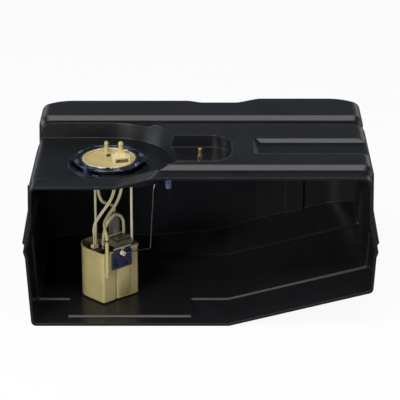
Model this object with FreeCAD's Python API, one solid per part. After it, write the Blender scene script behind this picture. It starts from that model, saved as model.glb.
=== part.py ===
import FreeCAD, Part
import math
import os

# Pickup truck fuel tank, cut open at the front, with the pump module standing in it.
# Millimetres. The origin is under the middle of the tank, +Z up, +Y to the tank's rear.
# Places along the depth are given from the cut face and turned into Y by at_depth.

V = FreeCAD.Vector

# Tank body
DEPTH = 536.0
WALL = 6.0
DECK_Z = 360.5
DECK_HALF = 374.0
SHOULDER_OUT = 2.0
SHOULDER_HALF = DECK_HALF + SHOULDER_OUT
SHOULDER_Z = 240.0
SEAM_OUT = 16.0
SEAM_HALF = DECK_HALF + SEAM_OUT
SEAM_Z = 176.0
LOWER_IN = 9.0
LOWER_HALF = SEAM_HALF - LOWER_IN
LOWER_Z = 163.0
FLOOR_IN = 19.0
FLOOR_HALF = SEAM_HALF - FLOOR_IN
SIDE_WRAP = 5.0
TAPER_LEFT = 0.024
TAPER_RIGHT = 0.018
DECK_CORNER_R = 25.0
FLOOR_CORNER_R = 12.0
SLOPE_START_X = 62.0
SLOPE_RISE = 80.0
FRONT_OVERRUN = 20.0

# Strap grooves in the deck and steps in the lower half
GROOVE_DEPTH = 10.0
FRONT_GROOVE_END = 41.0
REAR_GROOVE_START = 303.0
REAR_GROOVE_END = 344.0
STEP = 4.0
FIRST_STEP_AT = 121.0
SECOND_STEP_AT = 358.0
MID_GROOVE_START = 116.0
MID_GROOVE_END = 208.0
MID_GROOVE_DEPTH = 8.0
MID_GROOVE_X = 116.0

# Rear wall in plan, at the floor and at the deck
REAR_LEFT_FLOOR = 476.0
REAR_LEFT_DECK = 465.0
REAR_MID_DECK = 453.0
REAR_RIGHT_DECK = 479.0
PLAN_CORNER_R = 100.0
REAR_EDGE_R = 20.0
REAR_EDGE_STEPS = 5
CHANNEL_X = 222.0
CHANNEL_HALF = 15.0
CHANNEL_DEPTH = 6.0
CHANNEL_TOP = 300.0

# Pump well, strap channel across it and side pocket
WELL_FLOOR_Z = 316.0
WELL_REAR_FLOOR = 326.0
WELL_REAR_RIM = 332.0
WELL_RIGHT_FLOOR = -60.0
WELL_RIGHT_RIM = -50.0
WELL_R = 150.0
WELL_LEFT_R = 16.0
STRAP_FLOOR_Z = 328.5
POCKET_REAR = 228.0
POCKET_RIGHT = 68.0
POCKET_DEPTH = 29.0
POCKET_RUNOUT = 70.0
POCKET_R = 52.0

# Floor pad under the pump
PAD_LEFT = -292.0
PAD_RIGHT = -21.0
PAD_FRONT = 31.0

# Pump flange and its lock ring
PUMP_X = -202.0
PUMP_DEPTH = 163.0
MODULE_TURN = 39.5
BOSS_R = 90.0
BOSS_TOP = 321.0
TANK_BORE_R = 62.0
FLANGE_R = 58.5
FLANGE_EDGE_R = 66.0
FLANGE_THICK = 4.0
FLANGE_RIM_H = 2.5
FLANGE_RIM_W = 2.5
SKIRT_R = 60.5
SKIRT_WALL = 3.0
SKIRT_H = 16.0
SEAL_SECTION = 3.0
SEAL_INNER_R = 62.5
LOCK_TAB_R = 82.0
LOCK_R = 78.0
LOCK_INNER_R = 60.5
LOCK_LIP_W = 1.2
LOCK_LIP_H = 1.2
LOCK_THICK = 2.5
LOCK_COUNT = 6
LOCK_TAB_ANGLE = 24.0
LUG_LENGTH = 12.0
LUG_HEIGHT = 6.0
INSERT_R = 87.0
INSERT_INNER_R = 70.0
INSERT_THICK = 2.5
HOOK_ANGLE = 14.0
HOOK_WALL = 2.2
SEAT_GAP = 0.3
RUN_GAP = 0.05

# Stems, connector and plug on the flange: x and depth
SUPPLY_STEM = (-209.0, 207.0)
SUPPLY_STEM_R = 5.0
RETURN_STEM = (-177.0, 203.0)
RETURN_STEM_R = 6.0
STEM_BORE_R = 2.4
STEM_HEIGHT = 26.0
STEM_CHAMFER = 1.5
STEM_SHOULDER = 1.0
NECK_RISE = 2.0
STEM_FOOT_R = 8.5
STEM_FOOT_H = 5.0
CONNECTOR_X0 = -194.0
CONNECTOR_X1 = -156.0
CONNECTOR_FRONT = 133.0
CONNECTOR_REAR = 165.0
CONNECTOR_H = 14.0
CONNECTOR_WALL = 2.5
CONNECTOR_REACH = 18.0
CONNECTOR_TURN = 12.0
PIN_COUNT = 4
PIN_R = 1.1
PLUG_PLACE = (-204.0, 183.0)
PLUG_R = 5.0
PLUG_H = 3.5

# Canister and its pieces, in the module's own frame: u along the flat face, m to the rear
CAN_LEFT = -63.5
CAN_FRONT_LEFT = -57.5
CAN_RIGHT = 42.5
CAN_FRONT = -49.0
CAN_REAR = 48.0
CAN_HEIGHT = 118.0
CAN_WALL = 2.2
CAN_CORNER_R = 6.0
CAN_SLOT_U = -21.0
CAN_SLOT_HALF = 2.6
CAN_SLOT_DEPTH = 3.5
CAN_REAR_R = 38.0
CAN_RIM_H = 4.0
CAN_RIM_OUT = 1.4
FOOT_H = 3.0
FOOT_R = 7.0
FOOT_PLACES = ((-44.0, -36.0), (30.0, -36.0), (-38.0, 28.0), (17.0, 31.0))
ROD_R = 2.8
ROD_LEFT = (-20.0, 26.0)
ROD_RIGHT = (32.0, -37.5)
ROD_END_Z = 58.0
ROD_SOCKET_WALL = 3.2
GUIDE_R = 6.5
GUIDE_BORE_R = 5.0
BUSH_H = 10.0
WASHER_H = 1.5
SPRING_WIRE_R = 0.6
SPRING_TURNS = 9.0
PUMP_POS = (-38.0, 0.0)
PUMP_R = 19.0
PUMP_WALL = 1.5
PUMP_BASE = 16.0
PUMP_H = 92.0
PUMP_PLATE = 3.0
PUMP_CAP_H = 5.0
HOLDER_H = 6.0
HOLDER_RISE = 48.0
ARMATURE_R = 14.0
SHAFT_R = 2.5
BEARING_R = 6.0
BEARING_H = 4.0
STRAINER_HALF_U = 20.0
STRAINER_HALF_M = 15.0
INLET_R = 5.0
COVER_U0 = -14.0
COVER_U1 = 30.0
COVER_M0 = -45.0
COVER_M1 = 14.0
COVER_PLATE = 2.5
COVER_H = 15.0
FILTER_POS = (12.0, -1.0)
FILTER_R = 13.0
FILTER_TOP = 190.0
FILTER_CAP_H = 6.0
WIRE_PLUG_POS = (-42.0, 2.0)
WIRE_PLUG_SIZE = (15.0, 11.0, 9.0)

# Hoses and nipples
HOSE_R = 3.4
HOSE_BORE_R = 2.4
NIPPLE_LENGTH = 8.0
CLAMP_WALL = 0.9
CLAMP_WIDTH = 4.0
WIRE_R = 1.4
JET_POS = (-51.0, -55.0)
JET_R = 4.0
JET_TOP = 160.0
JET_FOOT = 85.0
JET_ELBOW = 9.0
STANDOFF_HEIGHTS = (98.0, 122.0)
STANDOFF = 4.0
ARCH_START = (-28.0, -11.0)
ARCH_END = (23.0, -20.0)
GLAND_R = 5.0
SUPPLY_NIPPLE = (-226.0, 150.0)
RETURN_NIPPLE = (-173.0, 150.0)
WIRE_GLAND = (-189.0, 152.0)

# Level sender and float
FRAME_THICK = 2.0
FRAME_MARGIN = 4.0
CARD_U0 = -31.0
CARD_U1 = 17.0
CARD_Z0 = 91.0
CARD_Z1 = 129.0
CARD_THICK = 1.0
CARD_HOLE_R = 3.0
PIVOT_U = -8.0
PIVOT_Z = 124.0
HUB_R = 5.5
HUB_LENGTH = 7.7
HUB_PIN_R = 1.6
CLIP_R = 4.5
CLIP_THICK = 1.5
WIPER_LENGTH = 36.0
WIPER_WIDTH = 4.0
WIPER_THICK = 0.6
WIPER_ANGLE = -52.5
ARM_WIRE_R = 1.2
FLOAT_U = 121.0
FLOAT_Z = 258.0
FLOAT_W = 10.5
FLOAT_T = 10.5
FLOAT_H = 25.0
FLOAT_EDGE = 2.5
FLOAT_WIRE_Z = 264.0

# Brass vent in the side pocket
FITTING_X = -1.0
FITTING_DEPTH = 134.0
VENT_BOSS_R = 9.0
VENT_BOSS_SUNK = 18.0
VENT_HOLE_R = 5.0
VENT_STEM_R = 3.0
VENT_COLLAR_R = 7.5
VENT_COLLAR_H = 2.5
VENT_HEX_H = 4.0
VENT_CAP_R = 4.7
VENT_HEIGHT = 24.0

# Heights that follow from the sizes above
FLOOR_TOP = WALL + STEP
FLANGE_SEAT = BOSS_TOP + SEAL_SECTION
FLANGE_TOP = FLANGE_SEAT + FLANGE_THICK
SKIRT_FOOT = FLANGE_SEAT - SKIRT_H
LOCK_Z = FLANGE_TOP + SEAT_GAP
STEM_TOP = FLANGE_TOP + STEM_HEIGHT
NECK_Z = FLANGE_TOP + STEM_FOOT_H + NECK_RISE
VENT_BOSS_TOP = DECK_Z - VENT_BOSS_SUNK
VENT_TOP = VENT_BOSS_TOP + VENT_HEIGHT
CAN_Z = FLOOR_TOP + SEAT_GAP + FOOT_H
CAN_INSIDE = CAN_Z + CAN_WALL
CAN_TOP = CAN_Z + CAN_HEIGHT
PUMP_Z = CAN_Z + PUMP_BASE
PUMP_TOP = PUMP_Z + PUMP_H
COVER_TOP = CAN_TOP + COVER_H
NIPPLE_R = HOSE_BORE_R - RUN_GAP
WASHER_Z = ROD_END_Z + 2.0
CARD_FACE = CAN_FRONT - FRAME_THICK - CARD_THICK
HUB_FACE = CARD_FACE - SEAT_GAP
ARM_PLANE = HUB_FACE - 5.2

os.makedirs("parts", exist_ok=True)
saved_boxes = []


def at_depth(depth):
    """Y of a place this far behind the cut face."""
    return depth - DEPTH / 2.0


def save(name, *solids):
    """One sub-part's file, of one solid or of several like ones."""
    shape = solids[0] if len(solids) == 1 else Part.makeCompound(list(solids))
    shape.exportStep("parts/" + name + ".step")
    saved_boxes.append(shape.BoundBox)
    print("%-16s valid %s solids %d volume %.1f" % (name, shape.isValid(), len(shape.Solids), shape.Volume))
    return shape


# Plane outlines: points with a corner radius each
def rounded_edges(points, radii):
    """Closed outline of straight runs joined by tangent arcs."""
    count = len(points)
    starts = []
    ends = []
    middles = []
    for i in range(count):
        corner = points[i]
        back = (points[i - 1] - corner).normalize()
        ahead = (points[(i + 1) % count] - corner).normalize()
        half = back.getAngle(ahead) / 2.0
        radius = radii[i]
        reach = radius / math.tan(half)
        bisector = (back + ahead).normalize()
        starts.append(corner + back * reach)
        ends.append(corner + ahead * reach)
        middles.append(corner + bisector * (radius / math.sin(half) - radius))
    edges = []
    for i in range(count):
        if radii[i] > 0:
            edges.append(Part.Arc(starts[i], middles[i], ends[i]).toShape())
        edges.append(Part.LineSegment(ends[i], starts[(i + 1) % count]).toShape())
    return edges


def rounded_wire(points, radii):
    return Part.Wire(rounded_edges(points, radii))


def plan_wire(points, radii, z):
    """Outline in plan from (x, depth) pairs."""
    return rounded_wire([V(x, at_depth(d), z) for x, d in points], radii)


def inset_points(points, distance):
    """Points of the same outline, moved inwards by a wall's thickness."""
    count = len(points)
    moved = []
    for i in range(count):
        x0, z0 = points[i - 1]
        x1, z1 = points[i]
        x2, z2 = points[(i + 1) % count]
        first = (x1 - x0, z1 - z0)
        second = (x2 - x1, z2 - z1)
        len_a = math.hypot(*first)
        len_b = math.hypot(*second)
        n1 = (-first[1] / len_a, first[0] / len_a)
        n2 = (-second[1] / len_b, second[0] / len_b)
        scale = distance / (1.0 + n1[0] * n2[0] + n1[1] * n2[1])
        moved.append((x1 + (n1[0] + n2[0]) * scale, z1 + (n1[1] + n2[1]) * scale))
    return moved


def loft(wires):
    """Solid between like outlines, with its faces turned outwards."""
    solid = Part.makeLoft(wires, True, True)
    if solid.Volume < 0:
        solid.reverse()
    return solid


def box(x0, x1, y0, y1, z0, z1):
    return Part.makeBox(x1 - x0, y1 - y0, z1 - z0, V(x0, y0, z0))


def cylinder(radius, height, x, y, z):
    return Part.makeCylinder(radius, height, V(x, y, z))


def ring(outer, inner, height, x, y, z):
    return cylinder(outer, height, x, y, z).cut(cylinder(inner, height, x, y, z))


def to_module(shape):
    """Turn a piece of the pump module from its own frame to its place in the tank."""
    placed = shape.copy()
    placed.rotate(V(0, 0, 0), V(0, 0, 1), MODULE_TURN)
    placed.translate(V(PUMP_X, at_depth(PUMP_DEPTH), 0))
    return placed


def module_point(u, m, z):
    """A place given in the module's frame, as a place in the tank."""
    turn = math.radians(MODULE_TURN)
    x = PUMP_X + u * math.cos(turn) - m * math.sin(turn)
    y = at_depth(PUMP_DEPTH) + u * math.sin(turn) + m * math.cos(turn)
    return V(x, y, z)


def module_prism(points, radii, z, height):
    """Upright block from an outline in the module's frame."""
    wire = rounded_wire([V(u, m, z) for u, m in points], radii)
    return Part.Face(wire).extrude(V(0, 0, height))


def pivot_cylinder(radius, start, length):
    """Round piece on the level sender's pivot, from m = start towards the front."""
    return Part.makeCylinder(radius, length, V(PIVOT_U, start, PIVOT_Z), V(0, -1, 0))


def tube_path(points):
    """Straight runs joined by tangent arcs, each as large as its two runs allow."""
    edges = []
    radii = []
    last = points[0]
    for i in range(1, len(points) - 1):
        back = points[i - 1] - points[i]
        ahead = points[i + 1] - points[i]
        half = back.getAngle(ahead) / 2.0
        reach = 0.45 * min(back.Length, ahead.Length)
        radius = reach * math.tan(half)
        back.normalize()
        ahead.normalize()
        start = points[i] + back * reach
        end = points[i] + ahead * reach
        bisector = (back + ahead).normalize()
        middle = points[i] + bisector * (radius / math.sin(half) - radius)
        edges.append(Part.LineSegment(last, start).toShape())
        edges.append(Part.Arc(start, middle, end).toShape())
        radii.append(radius)
        last = end
    edges.append(Part.LineSegment(last, points[-1]).toShape())
    return Part.Wire(edges), radii


def tube(name, points, radius, bore=0.0):
    """A hose, lead or bent wire along its route."""
    path, radii = tube_path(points)
    heading = (points[1] - points[0]).normalize()
    section = Part.Wire([Part.Circle(points[0], heading, radius).toShape()])
    solid = path.makePipeShell([section], True, False)
    if bore > 0:
        inner = Part.Wire([Part.Circle(points[0], heading, bore).toShape()])
        solid = solid.cut(path.makePipeShell([inner], True, False))
    expected = math.pi * (radius ** 2 - bore ** 2) * path.Length
    print("%s length %.1f volume ratio %.4f radii %s" % (
        name, path.Length, solid.Volume / expected, ["%.0f" % r for r in radii]))
    return solid


# Tank shell
def tank_section(depth, upper_in, seam_in, deck_z, lower_in, floor_z, wall):
    """Outline of the tank across its width at one depth, drawn inside by the wall."""
    behind = max(depth - FRONT_GROOVE_END, 0.0)
    left_in = upper_in + TAPER_LEFT * behind
    right_in = upper_in + TAPER_RIGHT * behind
    seam = SEAM_HALF - seam_in
    lower = LOWER_HALF - lower_in
    floor = FLOOR_HALF - lower_in
    right_floor = floor + 5.0
    points = [
        (-floor, floor_z), (SLOPE_START_X, floor_z), (right_floor, floor_z + SLOPE_RISE),
        (lower, LOWER_Z), (seam, SEAM_Z), (SHOULDER_HALF - right_in, SHOULDER_Z),
        (DECK_HALF - right_in, deck_z), (left_in - DECK_HALF, deck_z),
        (left_in - SHOULDER_HALF, SHOULDER_Z), (-seam, SEAM_Z), (-lower, LOWER_Z)]
    points = inset_points(points, wall)
    radii = [FLOOR_CORNER_R - wall, 0, FLOOR_CORNER_R - wall, 0, 0, 0,
             DECK_CORNER_R - wall, DECK_CORNER_R - wall, 0, 0, 0]
    return rounded_wire([V(x, at_depth(depth), z) for x, z in points], radii)


def tank_loft(wall):
    """The tank's form along its depth: grooves in the deck, steps in the lower half."""
    low_deck = DECK_Z - GROOVE_DEPTH
    first = FIRST_STEP_AT + STEP
    second = SECOND_STEP_AT + STEP
    stations = [
        (-wall, SIDE_WRAP, SIDE_WRAP, low_deck, 0, 0),
        (FRONT_GROOVE_END, SIDE_WRAP, SIDE_WRAP, low_deck, 0, 0),
        (FRONT_GROOVE_END + GROOVE_DEPTH, 0, 0, DECK_Z, 0, 0),
        (FIRST_STEP_AT, 0, 0, DECK_Z, 0, 0),
        (first, 0, 0, DECK_Z, STEP, STEP),
        (REAR_GROOVE_START - GROOVE_DEPTH, 0, 0, DECK_Z, STEP, STEP),
        (REAR_GROOVE_START, SIDE_WRAP, 0, low_deck, STEP, STEP),
        (REAR_GROOVE_END, SIDE_WRAP, 0, low_deck, STEP, STEP),
        (REAR_GROOVE_END + GROOVE_DEPTH, 0, 0, DECK_Z, STEP, STEP),
        (SECOND_STEP_AT, 0, 0, DECK_Z, STEP, STEP),
        (second, 0, 0, DECK_Z, 2 * STEP, 2 * STEP),
        (DEPTH + FRONT_OVERRUN, 0, 0, DECK_Z, 2 * STEP, 2 * STEP)]
    wires = [tank_section(*station, wall) for station in stations]
    return loft(wires)


def plan_level(z, drawn_in):
    """The tank's outline in plan at one height, drawn in by some distance."""
    share = z / DECK_Z
    side = SEAM_HALF + 2.0 - drawn_in
    floor_rear = [(128, DEPTH), (62, DEPTH - 14), (18, DEPTH - 32), (-110, REAR_LEFT_FLOOR)]
    deck_rear = [(132, REAR_RIGHT_DECK), (86, REAR_MID_DECK), (0, REAR_MID_DECK), (-27, REAR_LEFT_DECK)]
    right = DEPTH + (REAR_RIGHT_DECK - DEPTH) * share
    left = REAR_LEFT_FLOOR + (REAR_LEFT_DECK - REAR_LEFT_FLOOR) * share
    points = [(side, -FRONT_OVERRUN), (side, right - drawn_in)]
    for (x0, d0), (x1, d1) in zip(floor_rear, deck_rear):
        points.append((x0 + (x1 - x0) * share, d0 + (d1 - d0) * share - drawn_in))
    points += [(-side, left - drawn_in), (-side, -FRONT_OVERRUN)]
    corner = PLAN_CORNER_R - drawn_in
    return plan_wire(points, [0, corner, 30, 30, 30, 30, corner, 0], z)


def plan_prism(wall):
    """The tank's form in plan, with its stepped and leaning rear wall and round upper edge."""
    radius = REAR_EDGE_R - wall
    edge_z = DECK_Z - REAR_EDGE_R
    wires = [plan_level(0.0, wall), plan_level(edge_z, wall)]
    for k in range(1, REAR_EDGE_STEPS):
        angle = math.radians(90.0 * k / REAR_EDGE_STEPS)
        wires.append(plan_level(edge_z + radius * math.sin(angle), wall + radius * (1.0 - math.cos(angle))))
    wires.append(plan_level(DECK_Z + 1.0, REAR_EDGE_R))
    return loft(wires)


def rear_channel(wall):
    """Upright channel pressed into the rear wall from outside."""
    half = CHANNEL_HALF + wall
    near = REAR_RIGHT_DECK - CHANNEL_DEPTH - wall
    low = DEPTH - CHANNEL_DEPTH - wall
    lean = (near - low) / DECK_Z
    top = CHANNEL_TOP + wall
    face = [V(CHANNEL_X - half, at_depth(low), 0), V(CHANNEL_X - half, at_depth(DEPTH + FRONT_OVERRUN), 0),
            V(CHANNEL_X - half, at_depth(DEPTH + FRONT_OVERRUN), top),
            V(CHANNEL_X - half, at_depth(low + lean * top), top)]
    return Part.Face(Part.makePolygon(face + face[:1])).extrude(V(2 * half, 0, 0))


def mid_groove(wall):
    """Middle strap groove, in the right half of the deck only."""
    depth = MID_GROOVE_DEPTH + wall
    low = DECK_Z - depth
    x0 = MID_GROOVE_X - wall
    front = MID_GROOVE_START - wall
    rear = MID_GROOVE_END + wall
    right = SEAM_HALF + FRONT_OVERRUN
    top = plan_wire([(right, front), (right, rear), (x0, rear), (x0, front)], [0, 0, 8, 8], DECK_Z)
    slope = MID_GROOVE_DEPTH
    floor = plan_wire([(right, front + slope), (right, rear - slope), (x0 + 14.0, rear - slope),
                       (x0 + 14.0, front + slope)], [0, 0, 3, 3], low)
    return loft([floor, top])


def pump_well(wall):
    """Round-ended well for the pump, open to the left side."""
    left = -SEAM_HALF - FRONT_OVERRUN
    front = FRONT_GROOVE_END + GROOVE_DEPTH - wall
    floor_z = WELL_FLOOR_Z - wall
    floor = plan_wire([(left, front), (WELL_RIGHT_FLOOR + wall, front),
                       (WELL_RIGHT_FLOOR + wall, WELL_REAR_FLOOR + wall), (left, WELL_REAR_FLOOR + wall)],
                      [0, 100, WELL_R, 0], floor_z)
    rim = plan_wire([(left, front), (WELL_RIGHT_RIM + wall, front),
                     (WELL_RIGHT_RIM + wall, WELL_REAR_RIM + wall), (left, WELL_REAR_RIM + wall)],
                    [0, 30, WELL_R + 7.0, 0], DECK_Z + 1.0)
    edge = left_round(wall, floor_z, front, WELL_REAR_FLOOR + wall, 0.0)
    return loft([floor, rim]).fuse(edge)


def left_round(wall, floor_z, front, rear, upper_in):
    """Takes the left edge of a lowered floor off to a round that follows the side's taper."""
    radius = WELL_LEFT_R - wall
    low = floor_z - radius
    bend = radius * math.sin(math.radians(45.0))
    wires = []
    for depth in (front, rear):
        y = at_depth(depth)
        side = upper_in + TAPER_LEFT * max(depth - FRONT_GROOVE_END, 0.0) - DECK_HALF + wall
        inner = side + radius
        outside = side - FRONT_OVERRUN
        arc = Part.Arc(V(side, y, low), V(inner - bend, y, low + bend), V(inner, y, floor_z)).toShape()
        places = [V(inner, y, floor_z), V(inner, y, floor_z + 1.0), V(outside, y, floor_z + 1.0),
                  V(outside, y, low), V(side, y, low)]
        runs = [Part.LineSegment(a, b).toShape() for a, b in zip(places, places[1:])]
        wires.append(Part.Wire([arc] + runs))
    return loft(wires)


def strap_channel(wall):
    """Channel of the front strap across the well, which runs out to the cut face."""
    low = STRAP_FLOOR_Z - wall
    high = DECK_Z - GROOVE_DEPTH
    wires = []
    for depth, foot, crest in ((-FRONT_OVERRUN, -190.0, -96.0),
                               (FRONT_GROOVE_END + GROOVE_DEPTH + 1.0, -172.0, -72.0)):
        y = at_depth(depth)
        left = -SEAM_HALF - FRONT_OVERRUN
        span = crest - foot
        points = [V(left, y, low), V(foot + wall, y, low), V(crest + wall - 0.2 * span, y, high - 3.0),
                  V(crest + 40.0, y, high + 30.0), V(left, y, high + 30.0)]
        wires.append(rounded_wire(points, [0, 60.0, 20.0, 0, 0]))
    edge = left_round(wall, low, -FRONT_OVERRUN, FRONT_GROOVE_END + GROOVE_DEPTH - wall, SIDE_WRAP)
    return loft(wires).fuse(edge)


def side_pocket(wall):
    """Pocket beside the well: deep at its rear wall, running out to the deck in front."""
    rear = POCKET_REAR + wall
    right = POCKET_RIGHT + wall
    left = -95.0
    outline = plan_wire([(left, POCKET_RUNOUT), (right, POCKET_RUNOUT), (right, rear), (left, rear)],
                        [0, POCKET_R, POCKET_R, 0], DECK_Z - POCKET_DEPTH - wall)
    prism = Part.Face(outline).extrude(V(0, 0, POCKET_DEPTH + wall + 1.0))
    z0 = DECK_Z - POCKET_DEPTH - wall
    ramp = [V(left - 1, at_depth(rear + 1), z0), V(left - 1, at_depth(rear - 60), z0),
            V(left - 1, at_depth(POCKET_RUNOUT - 1), DECK_Z - wall),
            V(left - 1, at_depth(POCKET_RUNOUT - 1), DECK_Z + 1), V(left - 1, at_depth(rear + 1), DECK_Z + 1)]
    wedge = Part.Face(Part.makePolygon(ramp + ramp[:1])).extrude(V(right - left + 2, 0, 0))
    return prism.common(wedge)


def outer_form(wall):
    """Everything inside the tank's skin, drawn in by the wall's thickness."""
    form = tank_loft(wall).common(plan_prism(wall))
    for cutter in (rear_channel(wall), mid_groove(wall), pump_well(wall), strap_channel(wall),
                   side_pocket(wall)):
        form = form.cut(cutter)
    return form


def tank_shell():
    """Blow-moulded shell with the front wall cut off."""
    front = box(-500, 500, at_depth(-FRONT_OVERRUN * 2), at_depth(0), -10, DECK_Z + 50)
    shell = outer_form(0.0).cut(outer_form(WALL))
    x = PUMP_X
    y = at_depth(PUMP_DEPTH)
    boss = cylinder(BOSS_R, BOSS_TOP - WELL_FLOOR_Z + WALL / 2, x, y, WELL_FLOOR_Z - WALL / 2)
    shell = shell.fuse(boss)
    shell = shell.cut(cylinder(TANK_BORE_R, 60, x, y, WELL_FLOOR_Z - 30))
    pad_z = WALL + STEP
    pad_pts = [V(PAD_LEFT, at_depth(PAD_FRONT), WALL / 2), V(PAD_LEFT, at_depth(PAD_FRONT), WALL),
               V(PAD_LEFT, at_depth(PAD_FRONT + STEP), pad_z),
               V(PAD_LEFT, at_depth(FIRST_STEP_AT + 2 * STEP), pad_z),
               V(PAD_LEFT, at_depth(FIRST_STEP_AT + 2 * STEP), WALL / 2)]
    pad = Part.Face(Part.makePolygon(pad_pts + pad_pts[:1])).extrude(V(PAD_RIGHT - PAD_LEFT, 0, 0))
    shell = shell.fuse(pad)
    vent_y = at_depth(FITTING_DEPTH)
    vent_low = DECK_Z - POCKET_DEPTH - WALL / 2
    shell = shell.fuse(cylinder(VENT_BOSS_R, VENT_BOSS_TOP - vent_low, FITTING_X, vent_y, vent_low))
    shell = shell.cut(cylinder(VENT_HOLE_R, 40, FITTING_X, vent_y, VENT_BOSS_TOP - 30))
    shell = shell.cut(cylinder(VENT_BOSS_R, 20, FITTING_X, vent_y, VENT_BOSS_TOP))
    return shell.cut(front)


# Vent in the side pocket
def vent_grommet():
    y = at_depth(FITTING_DEPTH)
    low = DECK_Z - POCKET_DEPTH
    sleeve = cylinder(VENT_HOLE_R, VENT_BOSS_TOP - low, FITTING_X, y, low)
    collar = cylinder(VENT_COLLAR_R, VENT_COLLAR_H, FITTING_X, y, VENT_BOSS_TOP)
    return sleeve.fuse(collar).cut(cylinder(VENT_STEM_R, 40, FITTING_X, y, low - 5)).removeSplitter()


def vent_fitting():
    """Turned brass stem with a hexagon on the grommet."""
    y = at_depth(FITTING_DEPTH)
    low = DECK_Z - POCKET_DEPTH - 4.0
    seat = VENT_BOSS_TOP + VENT_COLLAR_H
    stem = cylinder(VENT_STEM_R, VENT_TOP - 6.0 - low, FITTING_X, y, low)
    corners = []
    for k in range(6):
        angle = math.radians(60.0 * k)
        corners.append(V(FITTING_X + 6.5 * math.cos(angle), y + 6.5 * math.sin(angle), seat))
    hexagon = Part.Face(Part.makePolygon(corners + corners[:1])).extrude(V(0, 0, VENT_HEX_H))
    return stem.fuse(hexagon).cut(cylinder(1.2, 60, FITTING_X, y, low - 5))


def vent_cap():
    """Cap over the stem, with a waist and a domed end."""
    y = at_depth(FITTING_DEPTH)
    foot = VENT_BOSS_TOP + VENT_COLLAR_H + VENT_HEX_H
    body = cylinder(VENT_CAP_R, VENT_TOP - foot, FITTING_X, y, foot)
    body = body.makeFillet(1.5, [e for e in body.Edges if e.BoundBox.ZMin > VENT_TOP - 1.0])
    body = body.cut(ring(VENT_CAP_R + 1.0, VENT_CAP_R - 0.8, 1.6, FITTING_X, y, foot + 5.0))
    return body.cut(cylinder(VENT_STEM_R + RUN_GAP, VENT_TOP - 5.0 - foot, FITTING_X, y, foot))


# Flange, seal and lock ring
def arc_sector(outer, inner, height, z, middle, angle):
    """Part of a ring about the pump's axis, centred on one direction."""
    x = PUMP_X
    y = at_depth(PUMP_DEPTH)
    block = Part.makeCylinder(outer, height, V(x, y, z), V(0, 0, 1), angle)
    block.rotate(V(x, y, z), V(0, 0, 1), middle - angle / 2.0)
    return block.cut(cylinder(inner, height + 2, x, y, z - 1))


def insert_ring():
    """Steel ring on the boss, with hooks that stand up and turn in over the lock ring."""
    x = PUMP_X
    y = at_depth(PUMP_DEPTH)
    body = ring(INSERT_R, INSERT_INNER_R, INSERT_THICK, x, y, BOSS_TOP)
    hook_under = LOCK_Z + LOCK_THICK + SEAT_GAP
    for k in range(LOCK_COUNT):
        middle = 360.0 / LOCK_COUNT * k
        post = arc_sector(INSERT_R, INSERT_R - HOOK_WALL, hook_under + HOOK_WALL - BOSS_TOP - 1.0,
                          BOSS_TOP + 1.0, middle, HOOK_ANGLE)
        hook = arc_sector(INSERT_R, LOCK_R + SEAT_GAP, HOOK_WALL, hook_under, middle, HOOK_ANGLE)
        body = body.fuse(post).fuse(hook)
    return body.removeSplitter()


def flange_seal():
    return ring(FLANGE_EDGE_R, SEAL_INNER_R, SEAL_SECTION, PUMP_X, at_depth(PUMP_DEPTH), BOSS_TOP)


def lock_ring():
    """Pressed ring over the flange's edge: tabs under the hooks, lugs to turn it by."""
    x = PUMP_X
    y = at_depth(PUMP_DEPTH)
    body = ring(LOCK_R, LOCK_INNER_R, LOCK_THICK, x, y, LOCK_Z)
    for k in range(LOCK_COUNT):
        middle = 360.0 / LOCK_COUNT * k
        tab = arc_sector(LOCK_TAB_R, LOCK_R - 2.0, LOCK_THICK, LOCK_Z, middle, LOCK_TAB_ANGLE)
        body = body.fuse(tab)
    bead = ring(LOCK_R - 6.0, LOCK_R - 9.0, LOCK_THICK + 1.5, x, y, LOCK_Z)
    body = body.fuse(bead)
    body = body.fuse(ring(LOCK_INNER_R + LOCK_LIP_W, LOCK_INNER_R, LOCK_THICK + LOCK_LIP_H, x, y, LOCK_Z))
    for k in range(3):
        middle = 120.0 * k + 30.0
        angle = math.degrees(LUG_LENGTH / LOCK_R)
        lug = arc_sector(LOCK_INNER_R + 6.0, LOCK_INNER_R + 3.5, LUG_HEIGHT, LOCK_Z, middle, angle)
        body = body.fuse(lug)
    return body.removeSplitter()


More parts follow.
